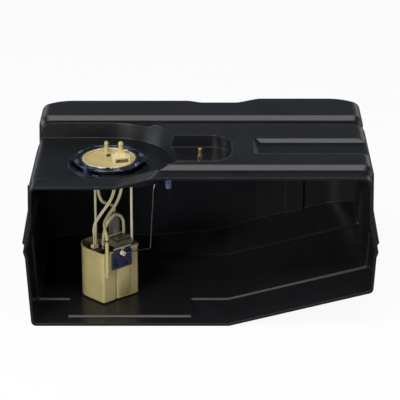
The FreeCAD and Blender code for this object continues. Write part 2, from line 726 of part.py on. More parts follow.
def pump_flange():
    """Moulded flange: disc with a raised rim, skirt into the bore, rod sockets and nipples."""
    x = PUMP_X
    y = at_depth(PUMP_DEPTH)
    body = cylinder(FLANGE_EDGE_R, FLANGE_THICK, x, y, FLANGE_SEAT)
    body = body.fuse(ring(FLANGE_R, FLANGE_R - FLANGE_RIM_W, FLANGE_THICK + FLANGE_RIM_H, x, y, FLANGE_SEAT))
    body = body.fuse(ring(SKIRT_R, SKIRT_R - SKIRT_WALL, SKIRT_H, x, y, SKIRT_FOOT))
    for u, m in (ROD_LEFT, ROD_RIGHT):
        place = module_point(u, m, SKIRT_FOOT)
        body = body.fuse(cylinder(ROD_R + ROD_SOCKET_WALL, SKIRT_H + 1, place.x, place.y, SKIRT_FOOT))
        body = body.cut(cylinder(ROD_R, SKIRT_H, place.x, place.y, SKIRT_FOOT))
    for place_x, depth in (SUPPLY_NIPPLE, RETURN_NIPPLE):
        foot = SKIRT_FOOT - NIPPLE_LENGTH
        body = body.fuse(cylinder(GLAND_R, SKIRT_H + 1, place_x, at_depth(depth), SKIRT_FOOT))
        body = body.fuse(cylinder(NIPPLE_R, FLANGE_SEAT + 1 - foot, place_x, at_depth(depth), foot))
    gland_x, gland_depth = WIRE_GLAND
    body = body.fuse(cylinder(GLAND_R, SKIRT_H + 1, gland_x, at_depth(gland_depth), SKIRT_FOOT))
    for (place_x, depth), radius in ((SUPPLY_STEM, SUPPLY_STEM_R), (RETURN_STEM, RETURN_STEM_R)):
        body = body.cut(cylinder(radius, 40, place_x, at_depth(depth), FLANGE_SEAT - 20))
    plug_x, plug_depth = PLUG_PLACE
    body = body.cut(cylinder(PLUG_R - 2.0, 40, plug_x, at_depth(plug_depth), FLANGE_SEAT - 20))
    return body.removeSplitter()


def stem(place, radius):
    """Tube through the flange: a foot, a plain neck for the line's connector and a chamfered mouth."""
    x, depth = place
    y = at_depth(depth)
    low = FLANGE_SEAT - 6.0
    foot = cylinder(radius, NECK_Z - low, x, y, low)
    foot = foot.makeChamfer(STEM_SHOULDER * 0.8, [e for e in foot.Edges if e.BoundBox.ZMin > NECK_Z - 1.0])
    neck = cylinder(radius - STEM_SHOULDER, STEM_TOP - NECK_Z + 1.0, x, y, NECK_Z - 1.0)
    neck = neck.makeChamfer(STEM_CHAMFER, [e for e in neck.Edges if e.BoundBox.ZMin > STEM_TOP - 1.0])
    body = foot.fuse(neck)
    return body.cut(cylinder(STEM_BORE_R, STEM_TOP - low + 2, x, y, low - 1)).removeSplitter()


def stem_collar():
    """Conical foot of the return stem on the flange."""
    x, depth = RETURN_STEM
    y = at_depth(depth)
    cone = Part.makeCone(STEM_FOOT_R, RETURN_STEM_R + 1.0, STEM_FOOT_H, V(x, y, FLANGE_TOP))
    return cone.cut(cylinder(RETURN_STEM_R, STEM_FOOT_H + 2, x, y, FLANGE_TOP - 1))


def connector_shell():
    """Electrical socket on the flange, open to the front."""
    y0 = at_depth(CONNECTOR_FRONT)
    y1 = at_depth(CONNECTOR_REAR)
    body = box(CONNECTOR_X0, CONNECTOR_X1, y0, y1, FLANGE_TOP, FLANGE_TOP + CONNECTOR_H)
    upright = [e for e in body.Edges if e.Length > CONNECTOR_H - 0.1 and e.Length < CONNECTOR_H + 0.1]
    body = body.makeFillet(3.0, upright)
    mouth = box(CONNECTOR_X0 + 2 * CONNECTOR_WALL, CONNECTOR_X1 - 2 * CONNECTOR_WALL, y0 - 1, y0 + CONNECTOR_REACH,
                FLANGE_TOP + CONNECTOR_WALL, FLANGE_TOP + CONNECTOR_H - CONNECTOR_WALL)
    return on_connector(body.cut(mouth))


def on_connector(shape):
    """Turns a piece of the socket about the socket's middle."""
    middle = V((CONNECTOR_X0 + CONNECTOR_X1) / 2.0, at_depth((CONNECTOR_FRONT + CONNECTOR_REAR) / 2.0), 0)
    shape.rotate(middle, V(0, 0, 1), CONNECTOR_TURN)
    return shape


def connector_pins():
    """Pins in a row at the back of the socket."""
    width = CONNECTOR_X1 - CONNECTOR_X0 - 4 * CONNECTOR_WALL
    pitch = width / PIN_COUNT
    back = at_depth(CONNECTOR_FRONT) + CONNECTOR_REACH
    pins = []
    for k in range(PIN_COUNT):
        x = CONNECTOR_X0 + 2 * CONNECTOR_WALL + pitch * (k + 0.5)
        z = FLANGE_TOP + CONNECTOR_H / 2.0
        pins.append(on_connector(Part.makeCylinder(PIN_R, CONNECTOR_REACH - 4.0, V(x, back, z), V(0, -1, 0))))
    return pins


def flange_plug():
    x, depth = PLUG_PLACE
    y = at_depth(depth)
    head = cylinder(PLUG_R, PLUG_H, x, y, FLANGE_TOP)
    return head.fuse(cylinder(PLUG_R - 2.0, FLANGE_THICK + 2.0, x, y, FLANGE_SEAT - 2.0)).removeSplitter()


# Guide rods and springs
def guide_rod(place):
    at = module_point(place[0], place[1], ROD_END_Z)
    return cylinder(ROD_R, FLANGE_SEAT - ROD_END_Z, at.x, at.y, ROD_END_Z)


def rod_washer(place):
    at = module_point(place[0], place[1], WASHER_Z)
    return ring(GUIDE_BORE_R - SEAT_GAP, ROD_R, WASHER_H, at.x, at.y, WASHER_Z)


def guide_spring(place):
    """Spring between the canister's floor and the rod's washer."""
    at = module_point(place[0], place[1], 0)
    low = CAN_INSIDE + SEAT_GAP + SPRING_WIRE_R
    high = WASHER_Z - SEAT_GAP - SPRING_WIRE_R
    middle_r = GUIDE_BORE_R - SEAT_GAP - SPRING_WIRE_R
    helix = Part.makeHelix((high - low) / SPRING_TURNS, high - low, middle_r)
    section = Part.Wire([Part.Circle(V(middle_r, 0, 0), V(0, 1, 0), SPRING_WIRE_R).toShape()])
    coil = Part.Wire(helix).makePipeShell([section], True, True)
    coil.translate(V(at.x, at.y, low))
    return coil


# Canister
CAN_OUTLINE = [(CAN_FRONT_LEFT, CAN_FRONT), (CAN_RIGHT, CAN_FRONT), (CAN_RIGHT, CAN_REAR),
               (CAN_LEFT + 2.0, CAN_REAR), (CAN_LEFT, 4.0)]
CAN_RADII = [CAN_CORNER_R, CAN_CORNER_R, CAN_REAR_R, CAN_REAR_R, CAN_CORNER_R]


def can_prism(inset, z, height):
    """Block of the canister's plan, drawn in by some distance."""
    points = inset_points(CAN_OUTLINE, inset)
    radii = [r - inset for r in CAN_RADII]
    return module_prism(points, radii, z, height)


def slot_prism(wall, z, height):
    """Upright slot pressed into the flat face below the sender."""
    half = CAN_SLOT_HALF + wall
    deep = CAN_FRONT + CAN_SLOT_DEPTH + wall
    points = [(CAN_SLOT_U - half - 2.0, CAN_FRONT - 1.0), (CAN_SLOT_U + half + 2.0, CAN_FRONT - 1.0),
              (CAN_SLOT_U + half - 1.0, deep), (CAN_SLOT_U - half + 1.0, deep)]
    return module_prism(points, [0, 0, 1.0, 1.0], z, height)


def canister():
    """Open-topped moulded cup with a rim, rod guides, pump holder and a flat face for the sender."""
    body = can_prism(0.0, CAN_Z, CAN_HEIGHT)
    body = body.fuse(can_prism(-CAN_RIM_OUT, CAN_TOP - CAN_RIM_H, CAN_RIM_H))
    slot_top = CARD_Z0 - FRAME_MARGIN - CAN_WALL
    body = body.cut(slot_prism(0.0, CAN_Z - 1.0, slot_top - CAN_Z + 1.0))
    inside = can_prism(CAN_WALL, CAN_INSIDE, CAN_HEIGHT)
    inside = inside.cut(slot_prism(CAN_WALL, CAN_INSIDE - 1.0, slot_top + CAN_WALL - CAN_INSIDE + 1.0))
    body = body.cut(inside)
    for u, m in (ROD_LEFT, ROD_RIGHT):
        body = body.fuse(cylinder(GUIDE_R, CAN_TOP - CAN_Z, u, m, CAN_Z))
    body = body.fuse(box(ROD_RIGHT[0] - 2, ROD_RIGHT[0] + 2, CAN_FRONT + 1, ROD_RIGHT[1], CAN_Z + 1, CAN_TOP - 1))
    for u, m in (ROD_LEFT, ROD_RIGHT):
        body = body.cut(cylinder(GUIDE_BORE_R, CAN_TOP - BUSH_H - CAN_INSIDE, u, m, CAN_INSIDE))
        body = body.cut(cylinder(ROD_R + RUN_GAP, CAN_HEIGHT, u, m, CAN_INSIDE))
    pump_u, pump_m = PUMP_POS
    holder_z = CAN_Z + HOLDER_RISE
    holder = ring(PUMP_R + SEAT_GAP + CAN_WALL, PUMP_R + SEAT_GAP, HOLDER_H, pump_u, pump_m, holder_z)
    body = body.fuse(holder)
    body = body.fuse(box(CAN_LEFT + 2, pump_u - PUMP_R - 1, -1.5, 1.5, holder_z, holder_z + HOLDER_H))
    line_u = 22.0
    body = body.fuse(box(line_u - 0.6, line_u + 0.6, CAN_FRONT - 0.7, CAN_FRONT + 1, CAN_Z + 10, CARD_Z0 - FRAME_MARGIN))
    body = body.fuse(box(line_u, line_u + 14, CAN_FRONT - 0.7, CAN_FRONT + 1, CAN_Z + 10, CAN_Z + 11.2))
    for z in STANDOFF_HEIGHTS:
        body = body.fuse(box(JET_POS[0] - 1, JET_POS[0] + 1, JET_POS[1] + JET_R, CAN_FRONT + 1, z, z + STANDOFF))
    return to_module(body.removeSplitter())


def canister_feet():
    return [to_module(cylinder(FOOT_R, FOOT_H, u, m, CAN_Z - FOOT_H)) for u, m in FOOT_PLACES]


def pump_cover():
    """Lid over the canister's right part, with a raised box that carries the filter."""
    plate = can_prism(CAN_WALL / 2.0, CAN_TOP, COVER_PLATE)
    plate = plate.common(box(COVER_U0, CAN_RIGHT, CAN_FRONT, CAN_REAR, CAN_TOP, CAN_TOP + COVER_PLATE))
    raised = box(COVER_U0, COVER_U1, COVER_M0, COVER_M1, CAN_TOP, COVER_TOP)
    upright = [e for e in raised.Edges if abs(e.Length - COVER_H) < 0.01]
    raised = raised.makeFillet(5.0, upright)
    body = plate.fuse(raised)
    hollow = box(COVER_U0 + CAN_WALL, COVER_U1 - CAN_WALL, COVER_M0 + CAN_WALL, COVER_M1 - CAN_WALL,
                 CAN_TOP - 1, COVER_TOP - CAN_WALL)
    body = body.cut(hollow)
    end_u, end_m = ARCH_END
    body = body.fuse(cylinder(NIPPLE_R, NIPPLE_LENGTH + 1, end_u, end_m, COVER_TOP - 1))
    for u, m in (ROD_LEFT, ROD_RIGHT):
        body = body.cut(cylinder(GUIDE_R + 1.0, COVER_H + 4, u, m, CAN_TOP - 2))
    return to_module(body.removeSplitter())


def pump_case():
    """Deep-drawn case with an inlet below and the lower bearing inside."""
    u, m = PUMP_POS
    body = cylinder(PUMP_R, PUMP_H, u, m, PUMP_Z)
    body = body.cut(cylinder(PUMP_R - PUMP_WALL, PUMP_H, u, m, PUMP_Z + PUMP_PLATE))
    body = body.fuse(cylinder(BEARING_R, PUMP_PLATE + BEARING_H, u, m, PUMP_Z))
    body = body.fuse(cylinder(INLET_R, NIPPLE_LENGTH, u, m, PUMP_Z - NIPPLE_LENGTH))
    body = body.cut(cylinder(SHAFT_R + RUN_GAP, BEARING_H + 2, u, m, PUMP_Z + PUMP_PLATE))
    return to_module(body.removeSplitter())


def pump_end_cap():
    """Moulded end with the upper bearing, the outlet nipple and a seat for the wire plug."""
    u, m = PUMP_POS
    body = cylinder(PUMP_R, PUMP_CAP_H, u, m, PUMP_TOP)
    body = body.fuse(cylinder(BEARING_R, BEARING_H + 1, u, m, PUMP_TOP - BEARING_H))
    start_u, start_m = ARCH_START
    body = body.fuse(cylinder(NIPPLE_R, NIPPLE_LENGTH + 1, start_u, start_m, PUMP_TOP + PUMP_CAP_H - 1))
    body = body.cut(cylinder(SHAFT_R + RUN_GAP, BEARING_H + 1, u, m, PUMP_TOP - BEARING_H - 1))
    return to_module(body.removeSplitter())


def pump_armature():
    """Wound rotor on its shaft."""
    u, m = PUMP_POS
    low = PUMP_Z + PUMP_PLATE + 1.0
    high = PUMP_TOP - 1.0
    shaft = cylinder(SHAFT_R, high - low, u, m, low)
    core_low = PUMP_Z + PUMP_PLATE + BEARING_H + 4.0
    core_high = PUMP_TOP - BEARING_H - 16.0
    body = shaft.fuse(cylinder(ARMATURE_R, core_high - core_low, u, m, core_low))
    body = body.fuse(cylinder(ARMATURE_R * 0.6, 10.0, u, m, core_high))
    return to_module(body.removeSplitter())


def pump_strainer():
    """Flat pleated sock under the pump's inlet."""
    u, m = PUMP_POS
    low = CAN_INSIDE + SEAT_GAP
    high = PUMP_Z - SEAT_GAP
    body = box(u - STRAINER_HALF_U, u + STRAINER_HALF_U - 2.0, m - STRAINER_HALF_M, m + STRAINER_HALF_M, low, high)
    body = body.makeFillet(3.0, body.Edges)
    body = body.cut(cylinder(INLET_R + SEAT_GAP, NIPPLE_LENGTH + 1, u, m, PUMP_Z - NIPPLE_LENGTH - SEAT_GAP))
    return to_module(body)


def filter_housing():
    """Round filter can standing on the raised cover."""
    u, m = FILTER_POS
    body = cylinder(FILTER_R, FILTER_TOP - COVER_TOP, u, m, COVER_TOP)
    body = body.fuse(cylinder(FILTER_R + 1.0, 2.5, u, m, COVER_TOP + 18.0))
    return to_module(body.removeSplitter())


def filter_cap():
    """Cap of the filter, with the supply nipple."""
    u, m = FILTER_POS
    body = cylinder(FILTER_R, FILTER_CAP_H, u, m, FILTER_TOP)
    body = body.makeFillet(3.0, [e for e in body.Edges if e.BoundBox.ZMin > FILTER_TOP + 1.0])
    body = body.fuse(cylinder(NIPPLE_R, FILTER_CAP_H + NIPPLE_LENGTH - 1, u, m, FILTER_TOP + 1))
    return to_module(body.removeSplitter())


def wire_plug():
    """Plug of the pump's leads on the end cap."""
    length, width, height = WIRE_PLUG_SIZE
    u, m = WIRE_PLUG_POS
    z = PUMP_TOP + PUMP_CAP_H
    body = box(u - length / 2, u + length / 2, m - width / 2, m + width / 2, z, z + height)
    return to_module(body.makeFillet(1.5, body.Edges))


# Hoses and leads
def arch_hose():
    """Short hose from the pump's outlet over to the raised cover."""
    u0, m0 = ARCH_START
    u1, m1 = ARCH_END
    start_z = PUMP_TOP + PUMP_CAP_H + SEAT_GAP
    points = [module_point(u0, m0, start_z), module_point(u0, m0, start_z + 20), module_point(-27, -16, 174),
              module_point(-19, -20, 194), module_point(-2, -21, 205), module_point(13, -21, 199),
              module_point(22, -20.5, 184), module_point(u1, m1, 167), module_point(u1, m1, COVER_TOP + SEAT_GAP)]
    return tube("arch_hose", points, HOSE_R, HOSE_BORE_R)


def supply_hose():
    """From the flange's left nipple to the filter."""
    x, depth = SUPPLY_NIPPLE
    end = module_point(FILTER_POS[0], FILTER_POS[1], FILTER_TOP + FILTER_CAP_H + SEAT_GAP)
    points = [V(x, at_depth(depth), SKIRT_FOOT - SEAT_GAP), V(x, at_depth(depth), 280),
              V(x - 1, at_depth(depth + 1), 255), V(-219, at_depth(154), 231), V(-205, at_depth(161), 222.5),
              V(end.x - 3.5, end.y - 2, 217), V(end.x, end.y, 208), end]
    return tube("supply_hose", points, HOSE_R, HOSE_BORE_R)


def return_hose():
    """From the flange's right nipple down across the front to the jet tube."""
    x, depth = RETURN_NIPPLE
    end = module_point(JET_POS[0], JET_POS[1], JET_TOP + SEAT_GAP)
    points = [V(x, at_depth(depth), SKIRT_FOOT - SEAT_GAP), V(x, at_depth(depth), 280),
              V(-177, at_depth(146), 252), V(-189, at_depth(134), 229), V(-204, at_depth(119), 213),
              V(-213, at_depth(104), 199), V(end.x - 3, end.y + 4, 186), V(end.x, end.y, 175), end]
    return tube("return_hose", points, HOSE_R, HOSE_BORE_R)


def pump_wire(name, shift):
    """One lead from the flange's gland to the plug on the pump."""
    x, depth = WIRE_GLAND
    end = module_point(WIRE_PLUG_POS[0] + shift, WIRE_PLUG_POS[1], PUMP_TOP + PUMP_CAP_H + WIRE_PLUG_SIZE[2])
    points = [V(x + shift, at_depth(depth), SKIRT_FOOT), V(x + shift, at_depth(depth), 281),
              V(x - 3 + shift, at_depth(151), 252), V(-204 + shift, at_depth(148), 228),
              V(-220 + shift, at_depth(144), 207), V(-234 + shift, at_depth(140), 186),
              V(end.x - 2, end.y + 1, 168), V(end.x, end.y, 155), end]
    return tube(name, points, WIRE_R)


def clamp_at(x, y, z):
    return ring(HOSE_R + RUN_GAP + CLAMP_WALL, HOSE_R + RUN_GAP, CLAMP_WIDTH, x, y, z)


def flange_clamps():
    z = SKIRT_FOOT - NIPPLE_LENGTH + 1.0
    return [clamp_at(x, at_depth(depth), z) for x, depth in (SUPPLY_NIPPLE, RETURN_NIPPLE)]


def canister_clamps():
    places = ((ARCH_START, PUMP_TOP + PUMP_CAP_H + 3.0), (ARCH_END, COVER_TOP + 3.0),
              (FILTER_POS, FILTER_TOP + FILTER_CAP_H + 3.0), (JET_POS, JET_TOP + 3.0))
    clamps = []
    for (u, m), z in places:
        at = module_point(u, m, z)
        clamps.append(clamp_at(at.x, at.y, z))
    return clamps


def jet_tube():
    u, m = JET_POS
    body = cylinder(JET_R, JET_TOP - JET_FOOT, u, m, JET_FOOT)
    body = body.fuse(cylinder(NIPPLE_R, NIPPLE_LENGTH + 1, u, m, JET_TOP - 1))
    return to_module(body.removeSplitter())


def jet_elbow():
    """Elbow that leads the returned fuel through the canister's face."""
    u, m = JET_POS
    half = JET_ELBOW / 2.0
    body = box(u - half, u + half, m - half, CAN_FRONT, JET_FOOT - JET_ELBOW, JET_FOOT)
    edges = [e for e in body.Edges if e.BoundBox.YMax < CAN_FRONT - 0.1]
    return to_module(body.makeFillet(2.0, edges))


# Level sender
def sender_frame():
    """Moulded frame on the canister's flat face, with the pivot pin."""
    body = box(CARD_U0 - FRAME_MARGIN, CARD_U1 + FRAME_MARGIN, CAN_FRONT - FRAME_THICK, CAN_FRONT,
               CARD_Z0 - FRAME_MARGIN, CARD_Z1 - 3.0)
    window = box(CARD_U0 + FRAME_MARGIN, CARD_U1 - FRAME_MARGIN, CAN_FRONT - FRAME_THICK - 1, CAN_FRONT + 1,
                 CARD_Z0 + FRAME_MARGIN, PIVOT_Z - HUB_R - 4.0)
    body = body.cut(window)
    length = CAN_FRONT - HUB_FACE + HUB_LENGTH + SEAT_GAP + CLIP_THICK + 0.5
    return to_module(body.fuse(pivot_cylinder(HUB_PIN_R, CAN_FRONT, length)).removeSplitter())


def resistor_card():
    body = box(CARD_U0, CARD_U1, CARD_FACE, CARD_FACE + CARD_THICK, CARD_Z0, CARD_Z1)
    return to_module(body.cut(pivot_cylinder(CARD_HOLE_R, CAN_FRONT, 10)))


def sender_clip():
    """Push-on clip at the end of the pivot pin."""
    start = HUB_FACE - HUB_LENGTH - SEAT_GAP
    return to_module(pivot_cylinder(CLIP_R, start, CLIP_THICK).cut(pivot_cylinder(HUB_PIN_R, CAN_FRONT, 40)))


def arm_points():
    """The arm's bends, in the plane in front of the canister's face."""
    places = [(PIVOT_U + 3.0, PIVOT_Z - 0.5), (30.0, 120.0), (58.0, 116.3), (68.6, 115.0), (69.4, 126.0),
              (74.0, 189.0), (79.0, 258.0), (87.0, 273.0), (102.0, 270.0), (111.0, FLOAT_WIRE_Z),
              (FLOAT_U + FLOAT_W / 2 + 4.0, FLOAT_WIRE_Z)]
    return [V(u, ARM_PLANE, z) for u, z in places]


def float_arm():
    return tube("float_arm", arm_points(), ARM_WIRE_R)


def arm_hub(arm):
    hub = pivot_cylinder(HUB_R, HUB_FACE, HUB_LENGTH).cut(pivot_cylinder(HUB_PIN_R + RUN_GAP, CAN_FRONT, 40))
    return hub.cut(arm)


def wiper():
    """Contact strip from the hub over the card."""
    strip = Part.makeBox(WIPER_LENGTH, WIPER_THICK, WIPER_WIDTH,
                         V(PIVOT_U, HUB_FACE - WIPER_THICK, PIVOT_Z - WIPER_WIDTH / 2))
    strip.rotate(V(PIVOT_U, 0, PIVOT_Z), V(0, -1, 0), WIPER_ANGLE)
    return to_module(strip.cut(pivot_cylinder(HUB_R, CAN_FRONT, 20)))


def tank_float(arm):
    half_w = FLOAT_W / 2
    half_t = FLOAT_T / 2
    half_h = FLOAT_H / 2
    body = box(FLOAT_U - half_w, FLOAT_U + half_w, ARM_PLANE - half_t, ARM_PLANE + half_t,
               FLOAT_Z - half_h, FLOAT_Z + half_h)
    body = body.makeFillet(FLOAT_EDGE, body.Edges)
    return body.cut(arm)


save("tank_shell", tank_shell())
save("vent_grommet", vent_grommet())
save("vent_fitting", vent_fitting())
save("vent_cap", vent_cap())
save("insert_ring", insert_ring())
save("flange_seal", flange_seal())
save("lock_ring", lock_ring())
save("pump_flange", pump_flange())
save("supply_stem", stem(SUPPLY_STEM, SUPPLY_STEM_R))
save("return_stem", stem(RETURN_STEM, RETURN_STEM_R))
save("stem_collar", stem_collar())
save("connector_shell", connector_shell())
save("connector_pins", *connector_pins())
save("flange_plug", flange_plug())
save("guide_rod_left", guide_rod(ROD_LEFT))
save("guide_rod_right", guide_rod(ROD_RIGHT))
save("rod_washers", rod_washer(ROD_LEFT), rod_washer(ROD_RIGHT))
save("spring_left", guide_spring(ROD_LEFT))
save("spring_right", guide_spring(ROD_RIGHT))
save("canister", canister())
save("canister_feet", *canister_feet())
save("pump_cover", pump_cover())
save("pump_case", pump_case())
save("pump_end_cap", pump_end_cap())
save("pump_armature", pump_armature())
save("pump_strainer", pump_strainer())
save("filter_housing", filter_housing())
save("filter_cap", filter_cap())
save("wire_plug", wire_plug())
save("arch_hose", arch_hose())
save("supply_hose", supply_hose())
save("return_hose", return_hose())
save("wire_power", pump_wire("wire_power", -2.0))
save("wire_ground", pump_wire("wire_ground", 2.0))
save("flange_clamps", *flange_clamps())
save("canister_clamps", *canister_clamps())
save("jet_tube", jet_tube())
save("jet_elbow", jet_elbow())
save("sender_frame", sender_frame())
save("resistor_card", resistor_card())
save("sender_clip", sender_clip())
arm = float_arm()
save("float_arm", to_module(arm))
save("arm_hub", to_module(arm_hub(arm)))
save("wiper", wiper())
save("tank_float", to_module(tank_float(arm)))

whole = saved_boxes[0]
for extra in saved_boxes[1:]:
    whole.add(extra)
print("whole", whole)
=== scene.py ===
import bmesh
import bpy
import math
from mathutils import Matrix, Vector


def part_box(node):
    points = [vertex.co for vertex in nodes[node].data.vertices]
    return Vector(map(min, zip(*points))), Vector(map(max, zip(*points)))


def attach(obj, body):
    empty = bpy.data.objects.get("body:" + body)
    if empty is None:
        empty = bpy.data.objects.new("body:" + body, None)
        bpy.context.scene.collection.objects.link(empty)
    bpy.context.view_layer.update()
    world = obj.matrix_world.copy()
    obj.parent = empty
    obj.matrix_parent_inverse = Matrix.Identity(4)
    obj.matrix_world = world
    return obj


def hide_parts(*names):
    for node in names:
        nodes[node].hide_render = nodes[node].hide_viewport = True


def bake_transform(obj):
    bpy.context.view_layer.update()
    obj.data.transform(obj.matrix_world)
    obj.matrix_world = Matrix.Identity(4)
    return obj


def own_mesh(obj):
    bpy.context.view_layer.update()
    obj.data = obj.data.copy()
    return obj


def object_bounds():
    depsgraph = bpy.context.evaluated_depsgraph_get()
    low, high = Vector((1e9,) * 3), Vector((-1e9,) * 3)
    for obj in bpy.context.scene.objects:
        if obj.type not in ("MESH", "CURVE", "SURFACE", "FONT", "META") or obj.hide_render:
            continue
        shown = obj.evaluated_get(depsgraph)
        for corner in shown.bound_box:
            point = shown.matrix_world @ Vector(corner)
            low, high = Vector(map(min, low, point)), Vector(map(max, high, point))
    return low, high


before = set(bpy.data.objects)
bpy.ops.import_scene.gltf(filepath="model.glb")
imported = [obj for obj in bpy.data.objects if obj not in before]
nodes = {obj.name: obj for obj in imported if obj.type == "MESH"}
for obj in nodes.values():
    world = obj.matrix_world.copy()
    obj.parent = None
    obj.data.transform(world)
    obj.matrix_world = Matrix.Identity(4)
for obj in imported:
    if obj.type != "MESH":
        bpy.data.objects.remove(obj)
cad_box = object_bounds()

# The camera stands well back, a little above the cut face, and looks square at it.
# Its small shift puts the tank where the photograph has it.
CAMERA_TARGET = Vector((0.0, cad_box[0][1], 0.2971))
CAMERA_DISTANCE = 5.2
CAMERA_ELEVATION = math.radians(22.6)
CAMERA_LENS = 218.2
CAMERA_SENSOR = 36.0
CAMERA_SHIFT_X = -0.00175
CAMERA_SHIFT_Y = 0.002
CAMERA_REACH = 50.0
camera_data = bpy.data.cameras.new("camera")
camera_data.lens = CAMERA_LENS
camera_data.sensor_width = CAMERA_SENSOR
camera_data.shift_x = CAMERA_SHIFT_X
camera_data.shift_y = CAMERA_SHIFT_Y
camera_data.clip_end = CAMERA_REACH
camera = bpy.data.objects.new("camera", camera_data)
bpy.context.scene.collection.objects.link(camera)
camera.location = CAMERA_TARGET + CAMERA_DISTANCE * Vector(
    (0.0, -math.cos(CAMERA_ELEVATION), math.sin(CAMERA_ELEVATION)))
camera.rotation_euler = (math.pi / 2.0 - CAMERA_ELEVATION, 0.0, 0.0)
bpy.context.scene.camera = camera
bpy.context.scene.view_settings.view_transform = "Standard"

# The studio has a backdrop that shows white to the eye and, low down, in gloss. Everything
# else sees a faint bluish fill.
FILL_COLOUR = (0.66, 0.81, 1.0)
FILL_STRENGTH = 0.12
BACKDROP_TOP = 0.16
BACKDROP_FADE = 0.10


def node_link(tree, kind, **inputs):
    """A shader node with its inputs set, by a value or by another node's socket."""
    node = tree.nodes.new(kind)
    for name, value in inputs.items():
        socket = node.inputs[name.replace("_", " ")]
        if isinstance(value, bpy.types.NodeSocket):
            tree.links.new(value, socket)
        else:
            socket.default_value = value
    return node


def math_step(tree, operation, first, second):
    """One sum on two values or sockets; returns its result's socket."""
    node = tree.nodes.new("ShaderNodeMath")
    node.operation = operation
    for socket, value in zip(node.inputs, (first, second)):
        if isinstance(value, bpy.types.NodeSocket):
            tree.links.new(value, socket)
        else:
            socket.default_value = value
    return node.outputs[0]


def stretched(tree, value, low, high, from_low=0.0, from_high=1.0):
    """A value's range stretched to two new levels; returns the result's socket."""
    node = tree.nodes.new("ShaderNodeMapRange")
    tree.links.new(value, node.inputs["Value"])
    node.inputs["From Min"].default_value = from_low
    node.inputs["From Max"].default_value = from_high
    node.inputs["To Min"].default_value = low
    node.inputs["To Max"].default_value = high
    return node.outputs["Result"]


def blended(tree, share, first, second):
    """Two shaders mixed by a share; returns the mix's socket."""
    node = tree.nodes.new("ShaderNodeMixShader")
    tree.links.new(share, node.inputs[0])
    tree.links.new(first, node.inputs[1])
    tree.links.new(second, node.inputs[2])
    return node.outputs[0]


world = bpy.data.worlds.new("studio")
bpy.context.scene.world = world
world.use_nodes = True
sky = world.node_tree
sky.nodes.clear()
sky_out = sky.nodes.new("ShaderNodeOutputWorld")
fill = node_link(sky, "ShaderNodeBackground", Color=(*FILL_COLOUR, 1.0), Strength=FILL_STRENGTH)
white = node_link(sky, "ShaderNodeBackground", Color=(1.0, 1.0, 1.0, 1.0), Strength=1.0)
path = sky.nodes.new("ShaderNodeLightPath")
ray = sky.nodes.new("ShaderNodeNewGeometry")
split = node_link(sky, "ShaderNodeSeparateXYZ", Vector=ray.outputs["Incoming"])
band = stretched(sky, split.outputs["Z"], 0.0, 1.0, -BACKDROP_TOP, -BACKDROP_TOP + BACKDROP_FADE)
shiny = math_step(sky, "MAXIMUM", path.outputs["Is Glossy Ray"], path.outputs["Is Transmission Ray"])
low_gloss = math_step(sky, "MULTIPLY", shiny, band)
seen = math_step(sky, "MAXIMUM", path.outputs["Is Camera Ray"], low_gloss)
sky.links.new(blended(sky, seen, fill.outputs[0], white.outputs[0]), sky_out.inputs["Surface"])

# The floor is pale paper. It shows nearly white, keeps the tank's shadow and is only faintly
# mirrored in the black plastic.
FLOOR_SIZE = 14.0
FLOOR_BELOW = 0.0005
FLOOR_SHOW = 0.93
FLOOR_PAPER = (0.8, 0.8, 0.8)
FLOOR_MIRRORED = (0.10, 0.10, 0.11)


def new_material(name):
    """An empty node material with its output; returns it, its nodes and its output node."""
    material = bpy.data.materials.new(name)
    material.use_nodes = True
    tree = material.node_tree
    tree.nodes.clear()
    output = tree.nodes.new("ShaderNodeOutputMaterial")
    return material, tree, output


half = FLOOR_SIZE / 2.0
floor_mesh = bpy.data.meshes.new("floor")
floor_corners = [(-half, -half, -FLOOR_BELOW), (half, -half, -FLOOR_BELOW),
                 (half, half, -FLOOR_BELOW), (-half, half, -FLOOR_BELOW)]
floor_mesh.from_pydata(floor_corners, [], [(0, 1, 2, 3)])
floor = bpy.data.objects.new("floor", floor_mesh)
bpy.context.scene.collection.objects.link(floor)
pale, tree, output = new_material("pale_floor")
paper = node_link(tree, "ShaderNodeBsdfDiffuse", Color=(*FLOOR_PAPER, 1.0))
glow = node_link(tree, "ShaderNodeEmission", Strength=1.0)
mirrored = node_link(tree, "ShaderNodeEmission", Color=(*FLOOR_MIRRORED, 1.0))
view_ray = tree.nodes.new("ShaderNodeLightPath")
amount = math_step(tree, "MULTIPLY", view_ray.outputs["Is Camera Ray"], FLOOR_SHOW)
seen_floor = blended(tree, amount, paper.outputs[0], glow.outputs[0])
whole_floor = blended(tree, view_ray.outputs["Is Glossy Ray"], seen_floor, mirrored.outputs[0])
tree.links.new(whole_floor, output.inputs["Surface"])
floor_mesh.materials.append(pale)


# One wide lamp hangs over the front, a lower one stands before the cut face, two weaker ones
# stand at the sides and a faint one low at the right.
def lamp(name, place, aim, width, height, power, colour):
    """A soft rectangular lamp at a place, turned to what it lights."""
    data = bpy.data.lights.new(name, "AREA")
    data.shape = "RECTANGLE"
    data.size = width
    data.size_y = height
    data.energy = power
    data.color = colour
    light = bpy.data.objects.new(name, data)
    bpy.context.scene.collection.objects.link(light)
    light.location = place
    light.rotation_euler = (Vector(aim) - Vector(place)).to_track_quat("-Z", "Y").to_euler()


